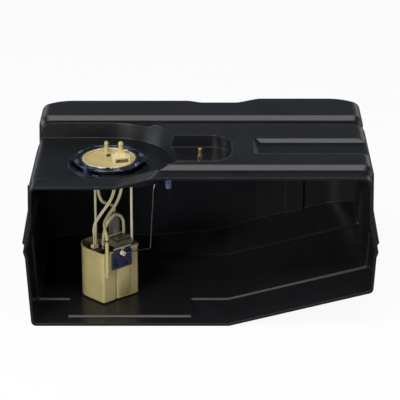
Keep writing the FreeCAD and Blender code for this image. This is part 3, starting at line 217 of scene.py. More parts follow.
lamp("over_front", place=(0.0, -1.28, 3.2), aim=(0.0, 0.0, 0.3), width=3.6, height=1.7, power=100.0,
     colour=(1.0, 0.98, 0.95))
lamp("low_front", place=(-2.3, -3.4, 1.3), aim=(0.0, 0.0, 0.2), width=1.4, height=1.2, power=85.0,
     colour=(1.0, 0.97, 0.93))
lamp("left_side", place=(-3.2, -0.4, 1.2), aim=(0.0, 0.0, 0.2), width=1.6, height=1.6, power=50.0,
     colour=(0.74, 0.84, 1.0))
lamp("right_side", place=(3.2, -0.2, 1.2), aim=(0.0, 0.0, 0.2), width=1.6, height=1.6, power=15.0,
     colour=(0.85, 0.9, 1.0))
lamp("front_right", place=(1.6, -3.0, 0.35), aim=(-0.3, 0.0, 0.15), width=1.0, height=0.6, power=6.0,
     colour=(0.9, 0.93, 1.0))


# The shell is one blow-moulded piece of black high-density polyethylene. Its skin is satin,
# with a faint ripple where the parison stretched, and the mould rounds every edge. The inner
# side carries painted light, lighter towards the rear, and its edges carry painted highlights.
SHELL_DARK = (0.0074, 0.0077, 0.0086)
SHELL_LIGHT = (0.0100, 0.0104, 0.0116)
SHELL_EDGE = 0.003
SHELL_SPECULAR = 0.30
SHELL_MIDDLE = (0.0, 0.0, 0.17)
DECK_UNDERSIDE = 0.308
INSIDE_FRONT = -0.22
INSIDE_REAR = 0.20
INSIDE_PAINTED_LIGHT = 1.5
EDGE_HIGHLIGHT_WIDTH = 0.0045
EDGE_HIGHLIGHT_FLAT = 0.995
EDGE_HIGHLIGHT_SHARP = 0.90
EDGE_HIGHLIGHT_GAIN = 1.1
EDGE_SAMPLES = 6
GRAIN_DEPTH = 0.0004


def colour_ramp(tree, factor, stops):
    """A colour ramp from (position, colour) pairs."""
    node = tree.nodes.new("ShaderNodeValToRGB")
    tree.links.new(factor, node.inputs["Fac"])
    elements = node.color_ramp.elements
    while len(elements) < len(stops):
        elements.new(0.5)
    for element, (position, colour) in zip(elements, stops):
        element.position = position
        element.color = (*colour, 1.0)
    return node.outputs["Color"]


def rounded_edge(tree, radius):
    """The normal of a surface whose edges are rounded off."""
    node = node_link(tree, "ShaderNodeBevel", Radius=radius)
    node.samples = EDGE_SAMPLES
    return node.outputs["Normal"]


def moulded(name, dark, light, rough_low, rough_high, mottle, grain, bump, edge, specular=0.5):
    """Moulded plastic: two tones in soft mottle, uneven gloss, fine grain and rounded edges."""
    material, tree, output = new_material(name)
    place = tree.nodes.new("ShaderNodeTexCoord").outputs["Object"]
    broad = node_link(tree, "ShaderNodeTexNoise", Vector=place, Scale=mottle, Detail=3.0)
    fine = node_link(tree, "ShaderNodeTexNoise", Vector=place, Scale=grain, Detail=2.0)
    tones = colour_ramp(tree, broad.outputs["Fac"], [(0.3, dark), (0.7, light)])
    gloss = stretched(tree, broad.outputs["Fac"], rough_low, rough_high)
    relief = node_link(tree, "ShaderNodeBump", Strength=bump, Distance=GRAIN_DEPTH,
                       Height=fine.outputs["Fac"], Normal=rounded_edge(tree, edge))
    shader = node_link(tree, "ShaderNodeBsdfPrincipled", Base_Color=tones, Roughness=gloss,
                       Normal=relief.outputs["Normal"])
    shader.inputs["Specular IOR Level"].default_value = specular
    tree.links.new(shader.outputs["BSDF"], output.inputs["Surface"])
    return material


def dress(material, *names):
    """Gives CAD nodes a finish."""
    for name in names:
        slots = nodes[name].data.materials
        slots.clear()
        slots.append(material)


def vector_step(tree, operation, first, second):
    """One vector sum on two sockets; returns its node."""
    node = tree.nodes.new("ShaderNodeVectorMath")
    node.operation = operation
    tree.links.new(first, node.inputs[0])
    tree.links.new(second, node.inputs[1])
    return node


def painted_edge_and_inside_light(material):
    """Paints light into a shell's colour: its inner side lighter towards the rear, and its edges as thin
    highlights.
    """
    tree = material.node_tree
    coat = [node for node in tree.nodes if node.type == "BSDF_PRINCIPLED"][0]
    tone = coat.inputs["Base Color"].links[0].from_socket
    place = tree.nodes.new("ShaderNodeTexCoord")
    outwards = node_link(tree, "ShaderNodeVectorMath", Vector=place.outputs["Object"])
    outwards.operation = "SUBTRACT"
    outwards.inputs[1].default_value = SHELL_MIDDLE
    facing = vector_step(tree, "DOT_PRODUCT", outwards.outputs["Vector"], place.outputs["Normal"])
    split = node_link(tree, "ShaderNodeSeparateXYZ", Vector=place.outputs["Object"])
    inward = math_step(tree, "LESS_THAN", facing.outputs["Value"], 0.0)
    below = math_step(tree, "LESS_THAN", split.outputs["Z"], DECK_UNDERSIDE)
    inside = math_step(tree, "MULTIPLY", inward, below)
    # Painted light: the inner side is coloured lighter towards the rear.
    painted_inside_light_ramp = stretched(tree, split.outputs["Y"], 0.0, INSIDE_PAINTED_LIGHT, INSIDE_FRONT, INSIDE_REAR)
    painted_inside_light = math_step(tree, "MULTIPLY", inside, painted_inside_light_ramp)
    skin = tree.nodes.new("ShaderNodeNewGeometry").outputs["Normal"]
    # Painted highlight: the colour is made paler where the rounded edge bends the normal.
    bend = vector_step(tree, "DOT_PRODUCT", skin, rounded_edge(tree, EDGE_HIGHLIGHT_WIDTH))
    painted_edge_highlight = stretched(tree, bend.outputs["Value"], 0.0, EDGE_HIGHLIGHT_GAIN, EDGE_HIGHLIGHT_FLAT, EDGE_HIGHLIGHT_SHARP)
    painted_light_total = math_step(tree, "ADD", painted_inside_light, painted_edge_highlight)
    scaled = node_link(tree, "ShaderNodeVectorMath")
    scaled.operation = "SCALE"
    tree.links.new(tone, scaled.inputs[0])
    tree.links.new(math_step(tree, "ADD", painted_light_total, 1.0), scaled.inputs["Scale"])
    tree.links.new(scaled.outputs["Vector"], coat.inputs["Base Color"])


tank_plastic = moulded("tank_plastic", dark=SHELL_DARK, light=SHELL_LIGHT, rough_low=0.22, rough_high=0.30,
                       mottle=9.0, grain=900.0, bump=0.25, edge=SHELL_EDGE, specular=SHELL_SPECULAR)
# Paints light into the shell: a lighter inner side towards the rear and highlights on its edges.
painted_edge_and_inside_light(tank_plastic)
dress(tank_plastic, "tank_shell")


# The lock ring and the ring moulded into the boss are pressed steel under a dark, slightly
# blue coating, lighter in patches. The bright lines along the lock ring's edges are painted highlights.
STEEL_CLOUDS = 60.0
STEEL_SCRATCHES = 700.0
STEEL_COAT_LEFT = 0.35
STEEL_COAT_GONE = 0.72
SCRATCH_STRENGTH = 0.15
SCRATCH_DEPTH = 0.0002
GLOSS_SPREAD = 0.08


def coated_steel(name, base, worn, roughness, edge):
    """Steel in two tones under a coating, with fine scratches."""
    material, tree, output = new_material(name)
    place = tree.nodes.new("ShaderNodeTexCoord").outputs["Object"]
    cloud = node_link(tree, "ShaderNodeTexNoise", Vector=place, Scale=STEEL_CLOUDS, Detail=4.0)
    scratch = node_link(tree, "ShaderNodeTexNoise", Vector=place, Scale=STEEL_SCRATCHES, Detail=2.0)
    tones = colour_ramp(tree, cloud.outputs["Fac"], [(STEEL_COAT_LEFT, base), (STEEL_COAT_GONE, worn)])
    gloss = stretched(tree, scratch.outputs["Fac"], roughness - GLOSS_SPREAD, roughness + GLOSS_SPREAD)
    relief = node_link(tree, "ShaderNodeBump", Strength=SCRATCH_STRENGTH, Distance=SCRATCH_DEPTH,
                       Height=scratch.outputs["Fac"], Normal=rounded_edge(tree, edge))
    shader = node_link(tree, "ShaderNodeBsdfPrincipled", Base_Color=tones, Roughness=gloss,
                       Normal=relief.outputs["Normal"])
    shader.inputs["Metallic"].default_value = 1.0
    tree.links.new(shader.outputs["BSDF"], output.inputs["Surface"])
    return material


dress(coated_steel("ring_coating", base=(0.030, 0.035, 0.055), worn=(0.16, 0.19, 0.27), roughness=0.24,
                   edge=0.0008),
      "lock_ring", "insert_ring")

# Washers, springs, clamps, the pump's case and its armature are bright drawn steel.
# They are pressed or wound, and left uncoated.
dress(coated_steel("drawn_steel", base=(0.42, 0.41, 0.38), worn=(0.60, 0.58, 0.54), roughness=0.28,
                   edge=0.0003),
      "rod_washers", "spring_left", "spring_right", "pump_armature", "pump_case", "flange_clamps",
      "canister_clamps")

# The flange's seal, the vent's grommet and the canister's feet are black rubber.
# They are moulded, with a dull and finely pitted skin.
dress(moulded("seal_rubber", dark=(0.010, 0.010, 0.010), light=(0.016, 0.016, 0.016), rough_low=0.6,
              rough_high=0.75, mottle=80.0, grain=900.0, bump=0.3, edge=0.0004),
      "flange_seal", "vent_grommet", "canister_feet")

# The flange and its stems are one family of sand-coloured acetal, injection moulded.
# The plug in the flange and the pump's end cap are a dark grade of it.
flange_acetal = moulded("flange_acetal", dark=(0.46, 0.36, 0.145), light=(0.54, 0.43, 0.19), rough_low=0.30,
                        rough_high=0.42, mottle=40.0, grain=700.0, bump=0.12, edge=0.0006)
dress(flange_acetal, "pump_flange", "supply_stem", "return_stem", "stem_collar")
dress(moulded("dark_acetal", dark=(0.035, 0.033, 0.030), light=(0.055, 0.052, 0.046), rough_low=0.35,
              rough_high=0.5, mottle=60.0, grain=700.0, bump=0.15, edge=0.0005),
      "flange_plug", "pump_end_cap")


# The vent's barb and cap in the side pocket are turned brass. The socket's contacts and the
# sender's wiper are stamped bronze.
BRASS_CLOUDS = 180.0
BRASS_SMOOTHER = 0.06
BRASS_ROUGHER = 0.08


def turned_brass(name, dark, light, roughness):
    """A copper alloy in two tones with uneven gloss."""
    material, tree, output = new_material(name)
    place = tree.nodes.new("ShaderNodeTexCoord").outputs["Object"]
    cloud = node_link(tree, "ShaderNodeTexNoise", Vector=place, Scale=BRASS_CLOUDS, Detail=3.0)
    tones = colour_ramp(tree, cloud.outputs["Fac"], [(0.3, dark), (0.7, light)])
    gloss = stretched(tree, cloud.outputs["Fac"], roughness - BRASS_SMOOTHER, roughness + BRASS_ROUGHER)
    shader = node_link(tree, "ShaderNodeBsdfPrincipled", Base_Color=tones, Roughness=gloss)
    shader.inputs["Metallic"].default_value = 1.0
    tree.links.new(shader.outputs["BSDF"], output.inputs["Surface"])
    return material


dress(turned_brass("vent_brass", dark=(0.52, 0.36, 0.14), light=(0.68, 0.49, 0.22), roughness=0.28),
      "vent_fitting", "vent_cap")
dress(turned_brass("contact_bronze", dark=(0.55, 0.38, 0.20), light=(0.70, 0.52, 0.30), roughness=0.35),
      "connector_pins", "wiper")

# The canister, its jet tube and elbow and its guide rods are moulded in paler acetal.
# The rods are smooth and nearly white.
canister_acetal = moulded("canister_acetal", dark=(0.44, 0.365, 0.165), light=(0.52, 0.435, 0.205),
                          rough_low=0.30, rough_high=0.42, mottle=25.0, grain=700.0, bump=0.12, edge=0.0008)
dress(canister_acetal, "canister", "jet_tube", "jet_elbow")
dress(moulded("rod_acetal", dark=(0.60, 0.54, 0.36), light=(0.70, 0.64, 0.46), rough_low=0.24,
              rough_high=0.34, mottle=60.0, grain=700.0, bump=0.08, edge=0.0003),
      "guide_rod_left", "guide_rod_right")

# The pump's cover is grey-brown and mottled, and the filter behind it is a plain grey-brown
# housing with a welded cap.
dress(moulded("cover_acetal", dark=(0.085, 0.078, 0.058), light=(0.20, 0.185, 0.14), rough_low=0.25,
              rough_high=0.45, mottle=190.0, grain=700.0, bump=0.15, edge=0.0006),
      "pump_cover")
dress(moulded("filter_plastic", dark=(0.115, 0.10, 0.085), light=(0.165, 0.15, 0.13), rough_low=0.35,
              rough_high=0.5, mottle=60.0, grain=700.0, bump=0.15, edge=0.0008),
      "filter_housing", "filter_cap")

# Hoses are cream nylon, bent to shape. The leads and their plug are a little paler, and the
# strainer is a pad of white woven cloth.
dress(moulded("nylon_hose", dark=(0.44, 0.38, 0.20), light=(0.54, 0.47, 0.26), rough_low=0.26,
              rough_high=0.38, mottle=60.0, grain=700.0, bump=0.10, edge=0.0002),
      "supply_hose", "return_hose", "arch_hose")
dress(moulded("lead_sheath", dark=(0.62, 0.55, 0.33), light=(0.72, 0.65, 0.42), rough_low=0.24,
              rough_high=0.34, mottle=90.0, grain=900.0, bump=0.10, edge=0.0002),
      "wire_power", "wire_ground", "wire_plug")
dress(moulded("strainer_cloth", dark=(0.5, 0.5, 0.46), light=(0.6, 0.6, 0.56), rough_low=0.6,
              rough_high=0.8, mottle=300.0, grain=1800.0, bump=0.5, edge=0.0004),
      "pump_strainer")

# The level sender has a glazed blue ceramic card with printed tracks around the arm's pivot.
# Its frame is dark plastic, and its clip and hub are cream acetal.
TRACK_SCALE = 75.0
TRACK_WANDER = 1.5
PATCH_SCALE = 120.0
CARD_BLACK = (0.004, 0.006, 0.018)
CARD_BLUE = (0.020, 0.030, 0.085)
CARD_PRINT = (0.075, 0.095, 0.20)
card_low, card_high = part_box("resistor_card")
clip_low, clip_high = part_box("sender_clip")
pivot = [(clip_low[k] + clip_high[k]) / 2.0 for k in range(3)]
glaze, tree, output = new_material("card_glaze")
place = tree.nodes.new("ShaderNodeTexCoord").outputs["Object"]
from_pivot = node_link(tree, "ShaderNodeVectorMath", Vector=place)
from_pivot.operation = "SUBTRACT"
from_pivot.inputs[1].default_value = pivot
tracks = node_link(tree, "ShaderNodeTexWave", Vector=from_pivot.outputs["Vector"], Scale=TRACK_SCALE,
                   Distortion=TRACK_WANDER, Detail=1.0)
tracks.wave_type = "RINGS"
tracks.rings_direction = "SPHERICAL"
patch = node_link(tree, "ShaderNodeTexNoise", Vector=place, Scale=PATCH_SCALE, Detail=2.0)
printed = math_step(tree, "MULTIPLY", tracks.outputs["Fac"], patch.outputs["Fac"])
tones = colour_ramp(tree, printed, [(0.10, CARD_BLACK), (0.34, CARD_BLUE), (0.48, CARD_PRINT)])
shader = node_link(tree, "ShaderNodeBsdfPrincipled", Base_Color=tones, Roughness=0.3)
tree.links.new(shader.outputs["BSDF"], output.inputs["Surface"])
dress(glaze, "resistor_card")
dress(moulded("sender_plastic", dark=(0.05, 0.058, 0.08), light=(0.07, 0.08, 0.11), rough_low=0.35,
              rough_high=0.5, mottle=90.0, grain=900.0, bump=0.1, edge=0.0004),
      "sender_frame")
dress(moulded("cream_acetal", dark=(0.66, 0.60, 0.44), light=(0.74, 0.68, 0.52), rough_low=0.3,
              rough_high=0.42, mottle=90.0, grain=900.0, bump=0.1, edge=0.0004),
      "sender_clip", "arm_hub")

# The float's arm is steel wire, bent to shape and held in the hub. The float is closed-cell
# foam in a violet blue, pushed onto the wire.
dress(coated_steel("arm_steel", base=(0.34, 0.34, 0.38), worn=(0.50, 0.50, 0.55), roughness=0.3,
                   edge=0.0002),
      "float_arm")
dress(moulded("float_foam", dark=(0.12, 0.135, 0.30), light=(0.17, 0.19, 0.38), rough_low=0.5,
              rough_high=0.65, mottle=120.0, grain=1500.0, bump=0.4, edge=0.0006),
      "tank_float")


def redrawn(node, name):
    """A copy of a node's solid as an object of its own."""
    mesh = nodes[node].data.copy()
    mesh.transform(nodes[node].matrix_world)
    twin = bpy.data.objects.new(name, mesh)
    bpy.context.scene.collection.objects.link(twin)
    return twin


def flexing(node):
    """A hose or lead copied into an object of its own, with the node hidden."""
    twin = redrawn(node, node + "_bending")
    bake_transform(twin)
    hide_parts(node)


flexing("supply_hose")
flexing("return_hose")
flexing("wire_power")
flexing("wire_ground")


def pressed(node):
    """A spring copied into an object of its own on the tank's body, with the node hidden."""
    coil = redrawn(node, node + "_pressed")
    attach(coil, "tank")
    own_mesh(coil)
    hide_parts(node)


pressed("spring_left")
pressed("spring_right")


# Each stem has a bead near its end, which the line's connector snaps over.
# It is moulded with the stem.
BEAD_R = 0.0011
BEAD_SUNK = 0.001
BEAD_BELOW_END = 0.0055
BEAD_SIDES = 32
WIRE_SIDES = 10


def finished(name, mesh, material, body, smooth):
    """Puts a finished mesh into the scene with one material, on one body."""
    for face in mesh.polygons:
        face.use_smooth = smooth
    mesh.materials.append(material)
    piece = bpy.data.objects.new(name, mesh)
    bpy.context.scene.collection.objects.link(piece)
    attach(piece, body)
    return piece


def turned(name, x, y, profile, material, body, count):
    """A round piece about an upright axis from a closed profile of (radius, height) pairs."""
    verts = []
    faces = []
    steps = len(profile)
    for k in range(count):
        angle = 2.0 * math.pi * k / count
        for radius, z in profile:
            verts.append((x + radius * math.cos(angle), y + radius * math.sin(angle), z))
    for k in range(count):
        for j in range(steps):
            a = k * steps + j
            b = k * steps + (j + 1) % steps
            c = ((k + 1) % count) * steps + (j + 1) % steps
            d = ((k + 1) % count) * steps + j
            faces.append((a, d, c, b))
    mesh = bpy.data.meshes.new(name)
    mesh.from_pydata(verts, [], faces)
    return finished(name, mesh, material, body, True)


def circle(radius, middle_r, middle_z):
    """A round closed profile for turned pieces."""
    angles = [2.0 * math.pi * k / WIRE_SIDES for k in range(WIRE_SIDES)]
    return [(middle_r + radius * math.cos(angle), middle_z + radius * math.sin(angle)) for angle in angles]


def middle_top(name):
    """The middle of a node in plan, at the height of its top."""
    low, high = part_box(name)
    return Vector(((low[0] + high[0]) / 2.0, (low[1] + high[1]) / 2.0, high[2]))


for stem in ("supply_stem", "return_stem"):
    end = middle_top(stem)
    foot_r = end.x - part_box(stem)[0][0]
    turned(stem + "_bead", end.x, end.y, circle(BEAD_R, foot_r - BEAD_SUNK, end.z - BEAD_BELOW_END),
           flange_acetal, "tank", BEAD_SIDES)

# The larger stem stands in a conical collar, with a short side spout above it and a buttress
# in front. All of them are moulded with the flange.
SPOUT_SIZE = (0.012, 0.0055, 0.0055)
SPOUT_OFFSET = Vector((0.0105, -0.002, 0.0005))
SPOUT_TURN = -0.15
SPOUT_EDGE = 0.0018
BUTTRESS_SIZE = (0.016, 0.010, 0.006)
BUTTRESS_FORWARD = 0.0085
BUTTRESS_TURN = 0.2
BUTTRESS_EDGE = 0.0015
FLANGE_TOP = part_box("stem_collar")[0][2]
ROUNDING_STEPS = 3


def soft_block(name, centre, size, turn, bevel, material, body):
    """A block with rounded edges, turned about the upright axis."""
    solid = bmesh.new()
    bmesh.ops.create_cube(solid, size=1.0)
    for corner in solid.verts:
        corner.co = Vector((corner.co.x * size[0], corner.co.y * size[1], corner.co.z * size[2]))
    bmesh.ops.bevel(solid, geom=list(solid.edges), offset=bevel, segments=ROUNDING_STEPS, affect="EDGES",
                    profile=0.5)
    placed = Matrix.Translation(centre) @ Matrix.Rotation(turn, 4, "Z")
    bmesh.ops.transform(solid, matrix=placed, verts=solid.verts)
    mesh = bpy.data.meshes.new(name)
    solid.to_mesh(mesh)
    solid.free()
    return finished(name, mesh, material, body, False)


collar = middle_top("stem_collar")
soft_block("stem_spout", collar + SPOUT_OFFSET, SPOUT_SIZE, SPOUT_TURN, SPOUT_EDGE, flange_acetal, "tank")
soft_block("stem_buttress", (collar.x, collar.y - BUTTRESS_FORWARD, FLANGE_TOP + BUTTRESS_SIZE[2] / 2.0),
           BUTTRESS_SIZE, BUTTRESS_TURN, BUTTRESS_EDGE, flange_acetal, "tank")

# The flange has a raised edge whose paler colour is a painted highlight, and a near-black ring,
# painted shade, fills the gap between it and the lock ring.
GAP_INNER_R = 0.0586
GAP_OUTER_R = 0.0603
GAP_FLOOR = FLANGE_TOP + 0.0001
GAP_TOP = FLANGE_TOP + 0.0034
EDGE_INNER_R = 0.0561
EDGE_OUTER_R = 0.0585
EDGE_ROUNDING = 0.0005
EDGE_SHOULDER = FLANGE_TOP + 0.0037
EDGE_TOP = FLANGE_TOP + 0.0041
EDGE_FOOT = FLANGE_TOP + 0.0020
RING_SIDES = 96
shade_dark = moulded("gap_shade", dark=(0.006, 0.006, 0.008), light=(0.010, 0.010, 0.012), rough_low=0.5,
                    rough_high=0.6, mottle=80.0, grain=900.0, bump=0.2, edge=0.0003)
opening = middle_top("lock_ring")
turned("gap_shade", opening.x, opening.y, [(GAP_INNER_R, GAP_FLOOR), (GAP_OUTER_R, GAP_FLOOR),
                                          (GAP_OUTER_R, GAP_TOP), (GAP_INNER_R, GAP_TOP)],
       shade_dark, "tank", RING_SIDES)
pale_acetal = moulded("socket_trim", dark=(0.60, 0.50, 0.26), light=(0.70, 0.60, 0.34), rough_low=0.26,
                      rough_high=0.36, mottle=60.0, grain=700.0, bump=0.1, edge=0.0003)
turned("flange_edge", opening.x, opening.y,
       [(EDGE_INNER_R, EDGE_FOOT), (EDGE_OUTER_R, EDGE_FOOT), (EDGE_OUTER_R, EDGE_SHOULDER),
        (EDGE_OUTER_R - EDGE_ROUNDING, EDGE_TOP), (EDGE_INNER_R + EDGE_ROUNDING, EDGE_TOP),
        (EDGE_INNER_R, EDGE_SHOULDER)],
       pale_acetal, "tank", RING_SIDES)

# The electrical socket is a paler moulding on the flange: a box with a latch on top, a step
# behind it, and a frame around its mouth.
SOCKET_TURN = math.radians(12.0)
LATCH_SIZE = (0.022, 0.018, 0.0050)
LATCH_OFFSET = Vector((-0.001, 0.004, 0.0020))
LATCH_EDGE = 0.0014
STEP_SIZE = (0.026, 0.009, 0.009)
STEP_LEFT = 0.0045
STEP_BACK = 0.0195
STEP_EDGE = 0.0015
MOUTH_ALONG = 0.0031
MOUTH_FORWARD = 0.0146
MOUTH_HALF = 0.0172
LIP_SIZE = (0.036, 0.0032, 0.0026)
LIP_RISE = 0.0006
JAMB_SIZE = (0.0026, 0.0032, 0.0150)
FRAME_EDGE = 0.0008
dress(pale_acetal, "connector_shell")
socket = middle_top("connector_shell")
soft_block("socket_latch", socket + LATCH_OFFSET, LATCH_SIZE, SOCKET_TURN, LATCH_EDGE, pale_acetal, "tank")
soft_block("socket_step", (socket.x - STEP_LEFT, socket.y + STEP_BACK, FLANGE_TOP + STEP_SIZE[2] / 2.0),
           STEP_SIZE, SOCKET_TURN, STEP_EDGE, pale_acetal, "tank")
soft_block("socket_lip", socket + Vector((MOUTH_ALONG, -MOUTH_FORWARD, LIP_RISE)), LIP_SIZE, SOCKET_TURN,
           FRAME_EDGE, pale_acetal, "tank")
for side in (-MOUTH_HALF, MOUTH_HALF):
    jamb = Vector((socket.x + MOUTH_ALONG + side * math.cos(SOCKET_TURN),
                   socket.y - MOUTH_FORWARD + side * math.sin(SOCKET_TURN), FLANGE_TOP + JAMB_SIZE[2] / 2.0))
    soft_block("socket_jamb", jamb, JAMB_SIZE, SOCKET_TURN, FRAME_EDGE, pale_acetal, "tank")

# The lock ring's inner lip is a thin ring of bright steel and its outer edge one of duller steel;
# both colours are painted highlights. Both follow the pressed ring as it turns.
LIP_R = 0.0612
LIP_WIRE = 0.0007
LIP_ABOVE = 0.0033
RIM_R = 0.0777
RIM_WIRE = 0.0005
RIM_ABOVE = 0.0025
ring_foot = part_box("lock_ring")[0][2]
highlight_steel = coated_steel("highlight_steel", base=(0.50, 0.53, 0.60), worn=(0.80, 0.83, 0.90), roughness=0.30,
                          edge=0.0003)
turned("lock_lip", opening.x, opening.y, circle(LIP_WIRE, LIP_R, ring_foot + LIP_ABOVE), highlight_steel,
       "lock_ring", RING_SIDES)
edge_highlight_steel = coated_steel("edge_highlight_steel", base=(0.16, 0.18, 0.25), worn=(0.40, 0.43, 0.52), roughness=0.30,
                          edge=0.0003)
turned("lock_edge", opening.x, opening.y, circle(RIM_WIRE, RIM_R, ring_foot + RIM_ABOVE), edge_highlight_steel,
       "lock_ring", RING_SIDES)

# Eight raised marks are pressed up from the lock ring between its lip and its edge, where
# the turning tool takes hold. Their bright steel colour is a painted highlight.
TAB_COUNT = 8
TAB_RADIUS = 0.0722
TAB_SIZE = (0.0075, 0.0130, 0.0040)
TAB_FIRST = math.radians(-75.0)
TAB_ABOVE = 0.0030
tabs = bpy.data.node_groups.new("ring_tabs", "GeometryNodeTree")
for label, kind in (("Radius", "NodeSocketFloat"), ("Count", "NodeSocketInt"), ("Size", "NodeSocketVector")):
    tabs.interface.new_socket(name=label, in_out="INPUT", socket_type=kind)
tabs.interface.new_socket(name="Geometry", in_out="OUTPUT", socket_type="NodeSocketGeometry")
given = tabs.nodes.new("NodeGroupInput")
places = node_link(tabs, "GeometryNodeMeshCircle", Radius=given.outputs["Radius"],
                   Vertices=given.outputs["Count"])
tab = node_link(tabs, "GeometryNodeMeshCube", Size=given.outputs["Size"])
where = tabs.nodes.new("GeometryNodeInputPosition")
outward = node_link(tabs, "FunctionNodeAlignEulerToVector", Vector=where.outputs["Position"])
outward.axis = "X"
spread = node_link(tabs, "GeometryNodeInstanceOnPoints", Points=places.outputs["Mesh"],
                   Instance=tab.outputs["Mesh"], Rotation=outward.outputs["Rotation"])
placed = node_link(tabs, "GeometryNodeTransform", Geometry=spread.outputs["Instances"],
                   Rotation=(0.0, 0.0, TAB_FIRST), Translation=(opening.x, opening.y, ring_foot + TAB_ABOVE))
realized = node_link(tabs, "GeometryNodeRealizeInstances", Geometry=placed.outputs["Geometry"])
# The tabs get the bright steel of the painted highlight.
worn = node_link(tabs, "GeometryNodeSetMaterial", Geometry=realized.outputs["Geometry"], Material=highlight_steel)
tabs_out = tabs.nodes.new("NodeGroupOutput")
tabs.links.new(worn.outputs["Geometry"], tabs_out.inputs["Geometry"])
carrier = bpy.data.objects.new("tab_carrier", bpy.data.meshes.new("tab_carrier"))
bpy.context.scene.collection.objects.link(carrier)
modifier = carrier.modifiers.new("tabs", "NODES")
modifier.node_group = tabs
tab_values = {"Radius": TAB_RADIUS, "Count": TAB_COUNT, "Size": TAB_SIZE}
for item in tabs.interface.items_tree:
    if item.in_out == "INPUT":
        modifier[item.identifier] = tab_values[item.name]
evaluated = carrier.evaluated_get(bpy.context.evaluated_depsgraph_get())
tab_mesh = bpy.data.meshes.new_from_object(evaluated)
bpy.data.objects.remove(carrier)
ring_tabs = bpy.data.objects.new("ring_tabs", tab_mesh)
bpy.context.scene.collection.objects.link(ring_tabs)
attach(ring_tabs, "lock_ring")

# The canister's flat face swells a little below the sender. The swelling is moulded with the
# wall and fades out at its four sides.
MODULE_TURN = math.radians(39.5)
FACE_M = -0.049
BULGE_STEPS = 14
BULGE_LEFT = -0.0165
BULGE_WIDTH = 0.0355
BULGE_OUT = 0.0020
BULGE_FULLNESS = 0.6
BULGE_SUNK = 0.0006
BULGE_FADE = 0.003
BULGE_BELOW_CARD = 0.0055
BULGE_ABOVE_FOOT = 0.003


def module_place(u, m, z):
    """A place in the canister's frame: along its face, in from it, and up."""
    return Vector((opening.x + u * math.cos(MODULE_TURN) - m * math.sin(MODULE_TURN),
                   opening.y + u * math.sin(MODULE_TURN) + m * math.cos(MODULE_TURN), z))


bulge_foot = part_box("canister")[0][2] + BULGE_ABOVE_FOOT
bulge_top = card_low[2] - BULGE_BELOW_CARD
bulge_levels = (bulge_foot, bulge_foot + BULGE_FADE, bulge_top - BULGE_FADE, bulge_top)
verts = []
faces = []
for k in range(BULGE_STEPS + 1):
    share = k / BULGE_STEPS
    out = BULGE_OUT * math.sin(math.pi * share) ** BULGE_FULLNESS
    for z in bulge_levels:
        rise = out if bulge_foot < z < bulge_top else -BULGE_SUNK
        verts.append(module_place(BULGE_LEFT + BULGE_WIDTH * share, FACE_M - rise, z))
for k in range(BULGE_STEPS):
    for j in range(len(bulge_levels) - 1):
        a = len(bulge_levels) * k + j
        b = a + len(bulge_levels)
        faces.append((a, b, b + 1, a + 1))
mesh = bpy.data.meshes.new("face_bulge")
mesh.from_pydata(verts, [], faces)
finished("face_bulge", mesh, canister_acetal, "canister", True)

# The sender's card reaches up to the canister's rim. It is held there by a cream edge and by
# a hook that is clipped over it.
CARD_MIDDLE = -0.0065
HEAD_SIZE = (0.046, 0.0020, 0.0065)
HEAD_OUT = 0.0016
HEAD_EDGE = 0.0004
RAIL_SIZE = (0.047, 0.0040, 0.0022)
RAIL_OUT = 0.0022
RAIL_ABOVE = 0.0008
RAIL_EDGE = 0.0007
HOOK_STEPS = 12
HOOK_SIDES = 8
HOOK_R = 0.0036
HOOK_WIRE = 0.0010
HOOK_START = math.radians(-200.0)
HOOK_SWEEP = math.radians(230.0)
HOOK_ALONG = 0.001
HOOK_OUT = 0.0040
HOOK_ABOVE = 0.0058
cream = moulded("cream_trim", dark=(0.50, 0.44, 0.27), light=(0.60, 0.53, 0.35), rough_low=0.3,
                rough_high=0.42, mottle=90.0, grain=900.0, bump=0.1, edge=0.0003)
card_top = card_high[2]
soft_block("card_head", module_place(CARD_MIDDLE, FACE_M - HEAD_OUT, card_top + HEAD_SIZE[2] / 2.0),
           HEAD_SIZE, MODULE_TURN, HEAD_EDGE, glaze, "canister")
soft_block("card_edge", module_place(CARD_MIDDLE, FACE_M - RAIL_OUT, card_top + HEAD_SIZE[2] + RAIL_ABOVE),
           RAIL_SIZE, MODULE_TURN, RAIL_EDGE, cream, "canister")
verts = []
faces = []
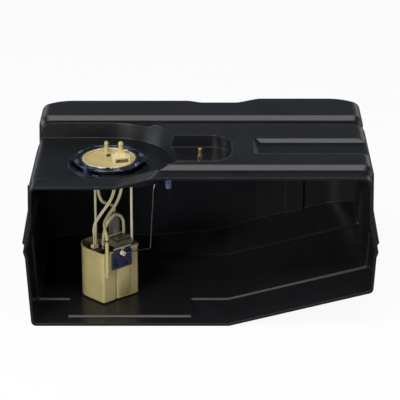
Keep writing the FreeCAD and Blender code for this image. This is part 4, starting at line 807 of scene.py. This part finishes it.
for k in range(HOOK_STEPS + 1):
    angle = HOOK_START + HOOK_SWEEP * k / HOOK_STEPS
    for j in range(HOOK_SIDES):
        around = 2.0 * math.pi * j / HOOK_SIDES
        radius = HOOK_R + HOOK_WIRE * math.cos(around)
        verts.append(module_place(CARD_MIDDLE + HOOK_ALONG + radius * math.cos(angle),
                                  FACE_M - HOOK_OUT + HOOK_WIRE * math.sin(around),
                                  card_top + HOOK_ABOVE + radius * math.sin(angle)))
for k in range(HOOK_STEPS):
    for j in range(HOOK_SIDES):
        a = k * HOOK_SIDES + j
        b = k * HOOK_SIDES + (j + 1) % HOOK_SIDES
        faces.append((a, b, b + HOOK_SIDES, a + HOOK_SIDES))
faces.append(tuple(range(HOOK_SIDES - 1, -1, -1)))
faces.append(tuple(range(HOOK_STEPS * HOOK_SIDES, (HOOK_STEPS + 1) * HOOK_SIDES)))
mesh = bpy.data.meshes.new("sender_hook")
mesh.from_pydata(verts, [], faces)
finished("sender_hook", mesh, cream, "canister", True)

# A cream bar joins the feet of the arched hose in front of the filter, and the pump's cover
# has a raised step with rounded edges.
BAR_SIZE = (0.038, 0.0030, 0.0026)
BAR_U = 0.003
BAR_M = -0.0135
BAR_ABOVE = 0.0060
BAR_EDGE = 0.0008
COVER_STEP_SIZE = (0.036, 0.0120, 0.0050)
COVER_STEP_U = 0.012
COVER_STEP_M = -0.0300
COVER_STEP_EDGE = 0.0012
cover_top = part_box("filter_housing")[0][2]
soft_block("cover_bar", module_place(BAR_U, BAR_M, cover_top + BAR_ABOVE), BAR_SIZE, MODULE_TURN, BAR_EDGE,
           cream, "canister")
cover_grey = nodes["pump_cover"].data.materials[0]
soft_block("cover_step", module_place(COVER_STEP_U, COVER_STEP_M, cover_top + COVER_STEP_SIZE[2] / 2.0),
           COVER_STEP_SIZE, MODULE_TURN, COVER_STEP_EDGE, cover_grey, "canister")

# The float has a dark eye where its arm passes through: a near-black block, painted shade for
# the hole. The wire is pushed through the foam and clipped there.
EYE_SIZE = (0.0036, 0.0012, 0.0046)
EYE_SUNK = 0.0002
EYE_ABOVE_MIDDLE = 0.004
EYE_EDGE = 0.0004
float_low, float_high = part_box("tank_float")
float_middle = (float_low + float_high) / 2.0
soft_block("float_eye_shade", (float_middle.x, float_low.y + EYE_SUNK, float_middle.z + EYE_ABOVE_MIDDLE),
           EYE_SIZE, 0.0, EYE_EDGE, shade_dark, "float_arm")
